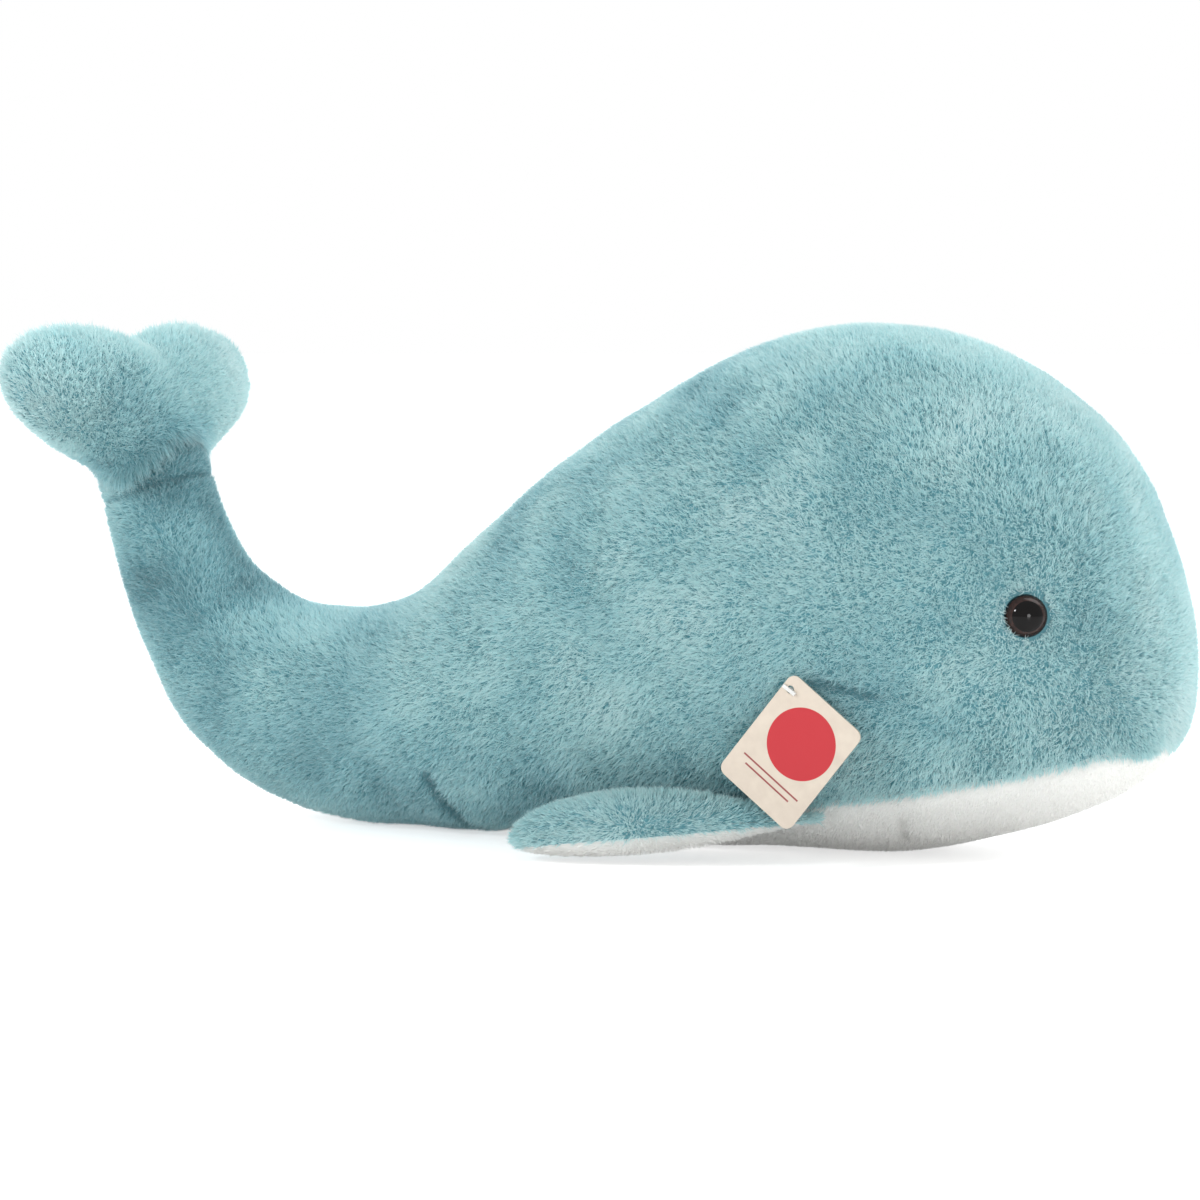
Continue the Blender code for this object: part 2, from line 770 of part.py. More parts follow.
def flipper(side_name, side, trunk_body):
    """One flipper: blue above, white below, hinged along the belly seam."""
    frame = flipper_frame(side)
    body = empty("flipper_" + side_name, frame, trunk_body)
    spread = side * FLIPPER_WIDTH
    points = [(x * FLIPPER_LENGTH, y * spread, power) for x, y, power in FLIPPER_OUTLINE_SHARES]
    middle = (FLIPPER_CENTRE_SHARES[0] * FLIPPER_LENGTH, FLIPPER_CENTRE_SHARES[1] * spread)
    pillow = Pillow(
        points, FLIPPER_STEPS, FLIPPER_ROWS, middle, FLIPPER_RISE, FLIPPER_DROP, FLIPPER_WEB
    )
    base = "flipper_" + side_name
    name = base + "_upper_panel"
    pillow.panel(name, 1, BLUE_DEPTH, blue_plush(name), body)
    name = base + "_lower_panel"
    pillow.panel(name, -1, WHITE_DEPTH, white_plush(name), body)
    name = base + "_filling"
    pillow.filling(name, BLUE_DEPTH, WHITE_DEPTH, stuffing(name), body)
    return body


def rounded_plate(name, length, width, thickness, corner, made, parent):
    """A flat plate with round corners, its first corner at the origin."""
    bm = bmesh.new()
    bmesh.ops.create_grid(bm, x_segments=1, y_segments=1, size=1)
    for vert in bm.verts:
        vert.co = Vector(((vert.co.x + 1) / 2 * width, 0, -(vert.co.y + 1) / 2 * length))
    bmesh.ops.bevel(
        bm, geom=bm.verts[:], offset=corner, offset_type="OFFSET", segments=CORNER_STEPS, profile=0.5,
        affect="VERTICES", material=-1,
    )
    grown = bmesh.ops.extrude_face_region(bm, geom=bm.faces[:], use_keep_orig=True)
    moved = [item for item in grown["geom"] if isinstance(item, bmesh.types.BMVert)]
    bmesh.ops.translate(bm, verts=moved, vec=(0, -thickness, 0))
    bmesh.ops.recalc_face_normals(bm, faces=bm.faces[:])
    return finish(bm, name, made, parent)


def tag(skin, filling, trunk_body):
    """The hang tag, its fastener through the right side, and the cuts for it."""
    u = SADDLE + PIN_STATION_SHARE
    turn = -PIN_TURN_SHARE * math.pi
    surface = form_point(u, turn)
    seat = empty("tag_pin_seat", Matrix.Translation(surface), trunk_body)
    plane = -TAG_STANDOFF
    body = empty("tag", Matrix.Translation(surface + Vector((0, plane, 0))), trunk_body)
    hang = math.atan2(TAG_WIDTH / 2 - TAG_HOLE_FROM_SIDE, TAG_LENGTH / 2 - TAG_HOLE_FROM_END)
    swing = empty("tag_hang", Matrix.Rotation(hang, 4, "Y"), body)
    plate = rounded_plate(
        "hang_tag", TAG_LENGTH, TAG_WIDTH, TAG_THICKNESS, TAG_CORNER, card("hang_tag"), swing
    )
    plate.location = (-TAG_HOLE_FROM_SIDE, 0, TAG_HOLE_FROM_END)
    across = Matrix.Rotation(math.pi / 2, 4, "X")
    drill = empty("tag_drill", across, body)
    hole = TAG_HOLE_DIAMETER / 2
    cut = [(0, -OVERRUN), (hole, -OVERRUN), (hole, OVERRUN), (0, OVERRUN)]
    cut_by(plate, hide(turned("tag_hole", cut, ROUND_STEPS, None, drill)))
    pin(seat, skin, filling, plane)
    return body


def pin(seat, skin, filling, plane):
    """A flat nylon fastener: a bar in front of the tag and a longer one behind the skin."""
    half = PIN_THICKNESS / 2
    outer = PIN_OUTER_BAR / 2
    inner = PIN_INNER_BAR / 2
    front = plane - TAG_THICKNESS - GAP
    slope = form_slopes(SADDLE + PIN_STATION_SHARE, -PIN_TURN_SHARE * math.pi)[2]
    back = (BLUE_DEPTH + PIN_SLACK) / -slope.y + inner * math.hypot(slope.x, slope.z) / -slope.y
    profile = [
        (-outer, front - PIN_THICKNESS), (outer, front - PIN_THICKNESS), (outer, front), (half, front),
        (half, back), (inner, back), (inner, back + PIN_THICKNESS), (-inner, back + PIN_THICKNESS),
        (-inner, back), (-half, back), (-half, front), (-outer, front),
    ]
    turn = empty("tag_pin_turn", Matrix.Rotation(PIN_TURN, 4, "Y"), seat)
    bm = bmesh.new()
    verts = [bm.verts.new((x, y, -half)) for x, y in profile]
    face = bm.faces.new(verts)
    grown = bmesh.ops.extrude_face_region(bm, geom=[face], use_keep_orig=True)
    moved = [item for item in grown["geom"] if isinstance(item, bmesh.types.BMVert)]
    bmesh.ops.translate(bm, verts=moved, vec=(0, 0, PIN_THICKNESS))
    bmesh.ops.recalc_face_normals(bm, faces=bm.faces[:])
    finish(bm, "tag_pin", nylon("tag_pin"), turn)
    drill = empty("tag_pin_drill", Matrix.Rotation(-math.pi / 2, 4, "X"), seat)
    hole = math.hypot(half, half) + GAP
    deep = back + PIN_THICKNESS + FILLING_GAP
    cut = [(0, -OVERRUN), (hole, -OVERRUN), (hole, deep + OVERRUN), (0, deep + OVERRUN)]
    cut_by(skin, hide(turned("tag_pin_hole", cut, ROUND_STEPS, None, drill)))
    wide = inner + FILLING_GAP
    cut = [(0, -OVERRUN), (wide, -OVERRUN), (wide, deep), (0, deep)]
    cut_by(filling, hide(turned("tag_pin_pocket", cut, ROUND_STEPS, None, drill)))


def centre_over_floor(root):
    """Move the whale along X until its two ends are equally far from the origin."""
    bpy.context.view_layer.update()
    reach = [
        (item.matrix_world @ vert.co).x
        for item in bpy.data.objects
        if item.type == "MESH" and not item.hide_render
        for vert in item.data.vertices
    ]
    root.location.x = -(min(reach) + max(reach)) / 2


def main():
    """Build the whale."""
    clear_scene()
    root = empty("whale", Matrix.Identity(4))
    left, right, filling = trunk(root)
    eye("left", 1, left, filling, root)
    eye("right", -1, right, filling, root)
    flukes(root)
    flipper("left", 1, root)
    flipper("right", -1, root)
    tag(right, filling, root)
    centre_over_floor(root)


main()
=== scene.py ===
"""A plush whale in teal and white pile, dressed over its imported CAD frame.

The head points along +X and the floor is at zero. Each skin has a cloth that the
pile stands on, and the tips of the pile end on the outer face of the CAD skin.
"""

import math
from collections import namedtuple

import bmesh
import bpy
import numpy as np
from mathutils import Matrix, Vector

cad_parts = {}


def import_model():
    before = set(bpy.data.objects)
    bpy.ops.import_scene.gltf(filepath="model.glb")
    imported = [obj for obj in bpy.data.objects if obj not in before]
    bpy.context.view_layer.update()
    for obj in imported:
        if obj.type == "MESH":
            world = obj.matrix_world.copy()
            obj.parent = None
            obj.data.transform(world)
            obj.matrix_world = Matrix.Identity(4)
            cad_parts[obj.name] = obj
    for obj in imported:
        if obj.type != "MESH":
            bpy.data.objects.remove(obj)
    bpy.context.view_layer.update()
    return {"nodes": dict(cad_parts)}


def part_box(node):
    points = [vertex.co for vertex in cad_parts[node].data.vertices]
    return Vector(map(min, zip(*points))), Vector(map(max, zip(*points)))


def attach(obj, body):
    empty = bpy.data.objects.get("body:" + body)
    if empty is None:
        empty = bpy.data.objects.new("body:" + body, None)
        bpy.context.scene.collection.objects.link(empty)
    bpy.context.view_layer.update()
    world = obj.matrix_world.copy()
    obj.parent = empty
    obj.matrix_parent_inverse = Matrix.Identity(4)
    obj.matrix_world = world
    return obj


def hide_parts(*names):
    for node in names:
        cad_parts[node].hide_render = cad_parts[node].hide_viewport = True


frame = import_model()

MERGE = 0.000001
SHORTEST = 1e-12

# Pile and cloth
BLUE_PILE = 0.0030
BLUE_LEAST = 0.0018
WHITE_PILE = 0.0011
WHITE_LEAST = 0.0010
RIM_DEPTH = 0.0030
SEAM_PULL = 0.0012
SEAM_REACH = 0.006
SEAM_GROOVE_SHARE = 0.4
SEAM_SINK_SHARE = 0.6
FLOOR_CLEAR = 0.0002
ROOT_CLEAR = 0.0012
STRAND_WIDTH = 0.00027
STRAND_WIDTH_SHARES = (0.7, 1.3)
STRAND_TWIST = 0.35
CLUMP_SPACING = 0.0011
STRANDS_A_SQUARE_MM = 5.2
SQUARE_MM_A_SQUARE_M = 1e6
MOST_STRANDS_A_PIECE = 95000
STRAND_MAP = "OFBake"
STRAND_MAP_HALF = 0.012

# How a colour of pile grows: its slot, its height and least height, then its density, its
# lean along the nap, its unevenness and the width of its strands as shares
Coat = namedtuple("Coat", "slot height least density_share laid_share wild_share wide_share")
BLUE_COAT = Coat("blue_plush", BLUE_PILE, BLUE_LEAST, 1.0, 0.20, 1.0, 1.0)
WHITE_COAT = Coat("white_plush", WHITE_PILE, WHITE_LEAST, 0.7, 0.45, 0.6, 0.8)

# How a strand stands, with its clump and alone, as shares of its height or of its pull
CLUMP_LEAN_SHARE = 0.30
OWN_LEAN_SHARE = 0.30
CLUMP_HEIGHT_SHARE = 0.08
OWN_HEIGHT_SHARE = 0.09
MIDDLE_RISE_SHARE = 0.52
MIDDLE_LEAN_SHARE = 0.32
TIP_PULL_SHARE = 0.40
MIDDLE_PULL_SHARE = 0.15

# Trunk, from the fold behind the back to the nose
BODY_LENGTH = 0.286
BODY_HEIGHT = 0.170
BODY_WIDTH = 0.150
SADDLE_HEIGHT = 0.075
SADDLE_WIDTH = 0.084
SADDLE_LEAN = 0.026
FLOOR_CUT = 0.0005

# Tail, from the same fold to the waist below the flukes
TAIL_LENGTH = 0.0855
WAIST_HEIGHT = 0.1145
WAIST_RADIUS = 0.0198
WAIST_TILT = math.radians(17)

# Flukes
FLUKE_WIDTH = 0.156
FLUKE_LENGTH = 0.0565
FLUKE_THICKNESS = 0.041
FLUKE_CENTRE = 0.027
FLUKE_RUNNING_GAP = 0.0008

# Strands of the flukes that hang over the waist
SKIRT_REACH = 0.0055
SKIRT_PUSH = 0.0055
SKIRT_MIDDLE_PUSH = 0.0012
SKIRT_CLEAR = 0.0003

# Flippers
FLIPPER_LENGTH = 0.079
FLIPPER_WIDTH = 0.047
FLIPPER_RISE = 0.0142
FLIPPER_DROP = 0.0078
FLIPPER_TIP_HEIGHT = 0.0068
FLIPPER_STANDOFF = 0.0024
FLIPPER_WEB = 0.0008

# Eyes
EYE_RADIUS = 0.00675
EYE_FLANGE = 0.0012
EYE_DOME = 0.0055
EYE_STEM = 0.0022
EYE_BASE = -0.0042
EYE_STEM_END = -0.0124
EYE_ROWS = 14
EYE_COLUMNS = 48
EYE_SHARP = math.radians(50)
IRIS_SHARES = (0.70, 0.94)

# Pile that parts round an eye, less so behind and below it
EYE_CLEAR = 0.0003
EYE_NEAR = 0.03
PARTING_REACH = 0.005
PARTING_PUSH = 0.0012
PARTING_MIDDLE_PUSH = 0.0004
BEHIND_EYE = (-0.85, 0, -0.53)
BEHIND_EYE_SHARE = 2.8

# Tag
TAG_LENGTH = 0.0400
TAG_WIDTH = 0.0302
TAG_HOLE_FROM_SIDE = 0.0028
TAG_HOLE_FROM_END = 0.0048
TAG_STANDOFF = 0.0026

# Print on the tag: a disc, and two rules by their height as a share and half their length
DISC_CENTRE_SHARES = (0.54, 0.61)
DISC_RADIUS = 0.0115
RULES = ((0.245, 0.0115), (0.190, 0.0092))
RULE_SHIFT = 0.0012
RULE_HALF_WIDTH = 0.00028
RULE_SOFTNESS = 0.00006
PRINT_SOFTNESS = 0.00008

# Stations of the tail from the waist to the saddle: top back, top rise, bottom back,
# bottom rise and half width. Back is a share of the tail's length behind the saddle.
TAIL_STATION_SHARES = (
    (0.750, 0.94, 1.135, 0.720, 0.07),
    (0.685, 0.61, 1.003, 0.485, 0.22),
    (0.600, 0.33, 0.828, 0.275, 0.38),
    (0.482, 0.13, 0.585, 0.127, 0.53),
    (0.351, 0.00, 0.304, 0.040, 0.67),
    (0.187, -0.03, -0.010, 0.000, 0.82),
)

# Stations of the trunk from the saddle to the nose: top forward, top height, bottom
# forward, bottom height, half width and the place of the belly seam on the half turn.
BODY_STATION_SHARES = (
    (0.084, 0.490, 0.154, 0.000, 0.667, 1.000),
    (0.175, 0.620, 0.225, 0.000, 0.760, 0.880),
    (0.274, 0.754, 0.309, 0.000, 0.840, 0.850),
    (0.379, 0.863, 0.400, 0.000, 0.907, 0.830),
    (0.484, 0.954, 0.491, 0.000, 0.960, 0.810),
    (0.589, 1.002, 0.582, 0.000, 1.000, 0.790),
    (0.688, 1.000, 0.674, 0.006, 1.000, 0.772),
    (0.779, 0.957, 0.761, 0.028, 0.960, 0.759),
    (0.856, 0.881, 0.842, 0.062, 0.885, 0.750),
    (0.916, 0.781, 0.912, 0.112, 0.765, 0.760),
    (0.955, 0.645, 0.958, 0.168, 0.600, 0.800),
    (0.985, 0.470, 0.986, 0.222, 0.375, 1.000),
    (1.000, 0.330, 1.000, 0.330, 0.000, 1.000),
)

# Fullness of a section, as the power of its superellipse, for the upper and lower half
ROUND_POWER_SHARE = 2.0
UPPER_POWER_SHARE = 2.15
LOWER_POWER_SHARE = 2.35
ROUND_EDGE_SHARE = 0.5

# Half outline of the flukes from the waist to the notch: along the axis and sideways
FLUKE_OUTLINE_SHARES = (
    (-0.20, 0.13),
    (-0.06, 0.23),
    (0.05, 0.31),
    (0.15, 0.46),
    (0.29, 0.70),
    (0.45, 0.91),
    (0.60, 1.00),
    (0.76, 1.00),
    (0.89, 0.91),
    (0.97, 0.71),
    (1.00, 0.49),
    (0.975, 0.27),
    (0.915, 0.09),
    (0.895, 0.00),
)

# Outline of a flipper from the back of its root round the tip: along the root as a
# share of the length, outward as a share of the width, and the power of its edge
FLIPPER_OUTLINE_SHARES = (
    (-0.200, -0.027, 1.80),
    (0.000, -0.036, 2.00),
    (0.200, -0.027, 1.70),
    (0.125, 0.200, 1.00),
    (-0.060, 0.450, 0.60),
    (-0.330, 0.760, 0.48),
    (-0.600, 0.960, 0.46),
    (-0.840, 1.010, 0.44),
    (-0.990, 0.850, 0.44),
    (-0.950, 0.600, 0.46),
    (-0.710, 0.340, 0.80),
    (-0.440, 0.140, 1.40),
)
FLIPPER_CENTRE_SHARES = (-0.50, 0.64)

# Places on the trunk, as a station and a share of the half turn from the top seam
EYE_STATION_SHARE = 9.57
EYE_TURN_SHARE = 0.483
PIN_STATION_SHARE = 6.55
PIN_TURN_SHARE = 0.585
FLIPPER_FRONT_SHARE = 6.7
FLIPPER_BACK_SHARE = 5.5

# Creases of the trunk: where each starts and ends, as a station and a turn from the top
# seam, how deep it is and how wide
CREASES = (
    ((8.20, -2.80), (8.17, -2.42), 0.0022, 0.0022),
    ((8.17, -2.42), (8.09, -2.03), 0.0022, 0.0022),
    ((8.20, 2.80), (8.17, 2.42), 0.0022, 0.0022),
    ((8.17, 2.42), (8.09, 2.03), 0.0022, 0.0022),
    ((13.70, -1.81), (14.62, -1.88), 0.0013, 0.0016),
    ((14.40, -2.80), (14.56, -2.57), 0.0016, 0.0020),
)
WAIST_CREASE_DROP = 0.0026
WAIST_CREASE_WIDTH = 0.0010
WAIST_CREASE_DEPTH = 0.0014
WAIST_CREASE_SHARE = 0.8
DOME_SWELL = 0.0008
DOME_FADE_SHARE = 0.15
LEAST_SECTION = 0.01

# Unevenness: how strong it is, how wide its lumps are and its seed
BROAD_LUMPS = (0.0009, 0.038, 51)
SMALL_LUMPS = (0.0004, 0.013, 52)
WAIST_LEVEL_WAVER = (0.0008, 0.012, 53)
WAIST_DEPTH_WAVER = (0.3, 0.015, 54)
LEAN_ALONG = (0.28, 0.011, 31)
LEAN_ACROSS = (0.28, 0.011, 32)
HEIGHT_CHANGE = (0.04, 0.02, 33)
SMALL_TONES = (0.18, 0.016, 34)
BROAD_TONES = (0.24, 0.05, 35)

# Numbers that scatter the noise and the clumps
CELL_PRIMES = (73856093, 19349663, 83492791)
SEED_PRIME = 2654435761
MIX_PRIME = 1274126177
HASH_STEPS = 0xFFFF
CELL_SHIFT = 1000
WARP_SEEDS = (91, 92, 93)
WARP_SHARE = 0.5
WARP_SIZE_SHARE = 3
SPOT_SEEDS = (11, 12, 13)
SPOT_MARGIN_SHARE = 0.15
SPOT_ROOM_SHARE = 0.7
CLUMP_SEEDS = (21, 22, 23, 24)

# Tone of a strand, from 0 for dark to 1 for pale
MIDDLE_TONE = 0.5
LEAST_TONE = 0.03
MOST_TONE = 0.97
CLUMP_TONE = 0.07
OWN_TONE = 0.07
CROWN_TONE = 0.2
# Painted shade: a strand darkens by the depth of the crease that it stands in
PAINTED_SHADE_A_METRE_SUNK = 300

# Painted shade along the tail and low on the body, and painted light out to the flukes' rims, in the tone
TAIL_PAINTED_SHADE = -0.28
TAIL_FADE = 0.075
SADDLE_END = 0.0
LOW_PAINTED_SHADE = -0.26
LOW_HEIGHT = 0.060
LOW_FADE = 0.040
LOW_FRONT = 0.110
# Painted light: the flukes' pile grows paler out to their rims
FLUKE_RIM_PAINTED_LIGHT = 0.20
FLUKE_FADE = 0.040

# Where the colours of the pile lie: on its tone, and up a strand as a place and a softness
TONE_STOPS = (0.0, 0.10, 0.25, 0.5, 1.0)
# Darker roots: painted shade deep in the pile
ROOT_FADE = (0.30, 0.30)
# Paler tips: a painted sheen, which shows most at the rims
PAINTED_SHEEN_FADE = (0.86, 0.14)
PAINTED_SHEEN_SHARE = 0.5
GRAIN_STOPS = (0.3, 0.7)
GRAIN_DETAIL = 3.0
GRAIN_ROUGHNESS = 0.55

# Light that comes evenly from all round, as a share of white, and lamps: each one's place,
# the point that it faces, its size and its power
DAYLIGHT = 0.56
LAMPS = {
    "key": ((0.5, 0.8, 1.5), (0, 0, 0.06), 2.0, 31.0),
    "fill": ((1.34, -1.55, 0.20), (0, 0, 0.06), 0.5, 7.0),
    "catchlight": ((-0.55, -1.22, 0.70), (0.17, -0.06, 0.08), 0.19, 6.5),
}
FLOOR_RADIUS = 12
FLOOR_SIDES = 64
FLOOR_GLOW = 0.60

# The photograph's view
CAMERA_LENS = 134.55
CAMERA_SENSOR = 36.0
CAMERA_TURN = math.radians(24)
CAMERA_LIFT = math.radians(3.9)
CAMERA_DISTANCE = 1.5
CAMERA_TARGET = (-0.0022, 0, 0.0783)

# How finely the forms are divided
SIDE_COLUMNS = 72
BELLY_COLUMNS = 40
ROWS_A_STATION = 12
DOME_ROWS = 10
PILLOW_STEPS = 6
PILLOW_ROWS = 18
FLIPPER_LAP_ROWS = 5
SLOPE_STEP_SHARE = 0.02


# Form of the spine


def catmull(before, start, end, after, t):
    """A smooth value between start and end, at t from 0 to 1."""
    linear = end - before
    square = 2 * before - 5 * start + 4 * end - after
    cube = 3 * start - before - 3 * end + after
    return start + 0.5 * t * (linear + t * (square + t * cube))


def waist_frame():
    """The centre of the waist, the tail's direction there and the direction to its front."""
    centre = np.array((-TAIL_LENGTH, 0, WAIST_HEIGHT))
    along = np.array((-math.sin(WAIST_TILT), 0, math.cos(WAIST_TILT)))
    front = np.array((math.cos(WAIST_TILT), 0, math.sin(WAIST_TILT)))
    return centre, along, front


def spine_stations():
    """A row for each station: top, bottom, half width, upper and lower power and seam share."""
    centre, _, front = waist_frame()
    reach = front * WAIST_RADIUS
    rows = [(*(centre + reach), *(centre - reach), WAIST_RADIUS, ROUND_POWER_SHARE, ROUND_POWER_SHARE, 1)]
    count = len(TAIL_STATION_SHARES)
    for index, (top_x, top_z, bottom_x, bottom_z, half) in enumerate(TAIL_STATION_SHARES):
        mix = (index + 1) / (count + 1)
        top = (-top_x * TAIL_LENGTH, 0, SADDLE_HEIGHT + top_z * (WAIST_HEIGHT - SADDLE_HEIGHT))
        bottom = (-bottom_x * TAIL_LENGTH, 0, bottom_z * WAIST_HEIGHT - FLOOR_CUT)
        width = WAIST_RADIUS + half * (SADDLE_WIDTH / 2 - WAIST_RADIUS)
        upper = ROUND_POWER_SHARE + mix * (UPPER_POWER_SHARE - ROUND_POWER_SHARE)
        lower = ROUND_POWER_SHARE + mix * (LOWER_POWER_SHARE - ROUND_POWER_SHARE)
        rows.append((*top, *bottom, width, upper, lower, 1))
    top = (0, 0, SADDLE_HEIGHT)
    bottom = (SADDLE_LEAN, 0, -FLOOR_CUT)
    rows.append((*top, *bottom, SADDLE_WIDTH / 2, UPPER_POWER_SHARE, LOWER_POWER_SHARE, 1))
    for top_x, top_z, bottom_x, bottom_z, half, seam in BODY_STATION_SHARES:
        top = (top_x * BODY_LENGTH, 0, top_z * BODY_HEIGHT)
        bottom = (bottom_x * BODY_LENGTH, 0, bottom_z * BODY_HEIGHT - FLOOR_CUT)
        rows.append((*top, *bottom, half * BODY_WIDTH / 2, UPPER_POWER_SHARE, LOWER_POWER_SHARE, seam))
    found = np.array(rows, float)
    middle = (found[-1, 0:3] + found[-1, 3:6]) / 2
    found[-1, 0:3] = middle
    found[-1, 3:6] = middle
    found[-1, 6] = 0
    return found


STATIONS = spine_stations()
SADDLE = len(TAIL_STATION_SHARES) + 1
NOSE = len(STATIONS) - 1
SEAMED = [index for index, station in enumerate(STATIONS) if station[9] < 1]
BELLY_BACK = SEAMED[0] - 1
BELLY_FRONT = SEAMED[-1] + 1
SHIFT = np.array((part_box("body_side_left")[1].x - BODY_LENGTH, 0, 0))


def neighbour(index):
    """A station, or the one that carries the spine on smoothly past either end."""
    if index < 0:
        return 2 * STATIONS[0] - STATIONS[1]
    if index > NOSE:
        found = STATIONS[2 * NOSE - index].copy()
        found[0:3], found[3:6] = STATIONS[2 * NOSE - index][3:6], STATIONS[2 * NOSE - index][0:3]
        found[6] = -found[6]
        return found
    return STATIONS[index]


def section(u):
    """The section at a place along the spine, counted in stations."""
    index = min(int(math.floor(u)), NOSE - 1)
    around = [neighbour(index + step) for step in (-1, 0, 1, 2)]
    found = catmull(*around, u - index)
    found[9] = min(found[9], 1)
    return found


def seam_turn(u):
    """The angle from the top seam to the belly seam."""
    if u <= BELLY_BACK or u >= BELLY_FRONT:
        return math.pi
    return section(u)[9] * math.pi


def powered(value, power):
    """A sine or cosine raised to a superellipse's share, with its sign kept."""
    return np.copysign(np.abs(value) ** (2 / power), value)


def form_row(u, turns):
    """Points on the outer form of the tail and trunk at one place along the spine."""
    if u < 0:
        centre, along, front = waist_frame()
        lift = min(-u, 1) * math.pi / 2
        side = np.outer(np.cos(turns), front) + np.outer(np.sin(turns), (0, 1, 0))
        return SHIFT + centre + WAIST_RADIUS * (math.sin(lift) * along + math.cos(lift) * side)
    found = section(u)
    top, bottom, width, upper, lower = found[0:3], found[3:6], found[6], found[7], found[8]
    rise = np.cos(turns)
    power = np.where(rise > 0, upper, lower)
    across = np.outer(width * powered(np.sin(turns), power), (0, 1, 0))
    return SHIFT + (top + bottom) / 2 + np.outer(powered(rise, power), (top - bottom) / 2) + across


def unit(vectors):
    """Vectors brought to a length of one."""
    length = np.linalg.norm(vectors, axis=-1, keepdims=True)
    return vectors / np.maximum(length, SHORTEST)


def form_rows(places, turns):
    """A grid of points with their outward normals and the direction towards the nose."""
    step = SLOPE_STEP_SHARE
    points, normals, alongs = [], [], []
    for u, row in zip(places, turns):
        ahead = form_row(min(u + step, NOSE), row)
        behind = form_row(max(u - step, -1), row)
        along = ahead - behind
        round_it = form_row(u, row + step) - form_row(u, row - step)
        normal = np.cross(along, round_it)
        if u in (-1, NOSE):
            pole = np.array((1.0, 0, 0)) if u > 0 else waist_frame()[1]
            normal = np.tile(pole, (len(row), 1))
        points.append(form_row(u, row))
        normals.append(unit(normal))
        alongs.append(unit(along))
    return np.array(points), np.array(normals), np.array(alongs)


def surface_frame(u, turn):
    """A frame on the outer form, with Z outward and X along the spine."""
    points, normals, alongs = form_rows([u], np.array([[turn]]))
    normal, along = Vector(normals[0, 0]), Vector(alongs[0, 0])
    side = normal.cross(along).normalized()
    made = Matrix((side.cross(normal), side, normal)).transposed().to_4x4()
    made.translation = Vector(points[0, 0])
    return made


EYES = [surface_frame(SADDLE + EYE_STATION_SHARE, side * EYE_TURN_SHARE * math.pi) for side in (1, -1)]


# Noise


def hashed(cells, seed):
    """A random number from 0 to 1 for each whole-numbered cell."""
    mixed = seed * SEED_PRIME
    for axis, prime in enumerate(CELL_PRIMES):
        mixed = mixed ^ (cells[..., axis].astype(np.int64) * prime)
    mixed = (mixed ^ (mixed >> 13)) * MIX_PRIME
    mixed = mixed ^ (mixed >> 16)
    return (mixed & HASH_STEPS) / HASH_STEPS


def noise(points, size, seed):
    """Smooth noise from -1 to 1 with lumps of a size."""
    spots = points / size + CELL_SHIFT
    base = np.floor(spots)
    part = spots - base
    part = part * part * (3 - 2 * part)
    total = 0
    for corner in np.ndindex(2, 2, 2):
        weight = np.prod(np.where(np.array(corner) > 0, part, 1 - part), axis=-1)
        total = total + weight * hashed(base + corner, seed)
    return 2 * total - 1


def uneven(points, kind):
    """Noise of one of the kinds above: a strength, a size and a seed."""
    strength, size, seed = kind
    return strength * noise(points, size, seed)


def nearest_clump(points, size):
    """The centre of the clump that each point belongs to, and the clump's cell."""
    warp = np.stack([noise(points, WARP_SIZE_SHARE * size, seed) for seed in WARP_SEEDS], axis=-1)
    warped = points + WARP_SHARE * size * warp
    spots = warped / size + CELL_SHIFT
    base = np.floor(spots - 0.5)
    best = np.full(len(points), np.inf)
    centre = np.zeros_like(points)
    cell = np.zeros_like(points)
    for corner in np.ndindex(2, 2, 2):
        here = base + corner
        inside = np.stack([hashed(here, seed) for seed in SPOT_SEEDS], axis=-1)
        spot = here + SPOT_MARGIN_SHARE + SPOT_ROOM_SHARE * inside
        distance = np.sum((spot - spots) ** 2, axis=-1)
        nearer = distance < best
        best = np.where(nearer, distance, best)
        centre = np.where(nearer[:, None], (spot - CELL_SHIFT) * size, centre)
        cell = np.where(nearer[:, None], here, cell)
    return centre + points - warped, cell


# Materials


class Shade:
    """A socket of a material's node tree, for arithmetic on what it carries."""

    def __init__(self, tree, socket):
        self.tree = tree
        self.socket = socket

    def node(self, kind, settings=None, sockets=None):
        """Another node of the tree, its settings set first and then its sockets."""
        made = self.tree.nodes.new(kind)
        for name, value in (settings or {}).items():
            if name == "stops":
                fill_ramp(made.color_ramp, value)
            else:
                setattr(made, name, value)
        for name, value in (sockets or {}).items():
            put(self.tree, made.inputs, name, value)
        return made

    def out(self, made, name=0):
        """A node's output, wrapped."""
        return Shade(self.tree, made.outputs[name])

    def maths(self, operation, *values):
        """A Math node on some values."""
        return self.out(self.node("ShaderNodeMath", {"operation": operation}, dict(enumerate(values))))

    def __add__(self, other):
        return self.maths("ADD", self, other)

    __radd__ = __add__

    def __sub__(self, other):
        return self.maths("SUBTRACT", self, other)

    def __rsub__(self, other):
        return self.maths("SUBTRACT", other, self)

    def __mul__(self, other):
        return self.maths("MULTIPLY", self, other)

    __rmul__ = __mul__

    def __truediv__(self, other):
        return self.maths("DIVIDE", self, other)

    def __rtruediv__(self, other):
        return self.maths("DIVIDE", other, self)

    def above(self, edge, soft):
        """A mask that is 1 where the value is above an edge."""
        settings = {"interpolation_type": "SMOOTHSTEP"}
        sockets = {"Value": self, "From Min": edge - soft, "From Max": edge + soft}
        return self.out(self.node("ShaderNodeMapRange", settings, sockets))


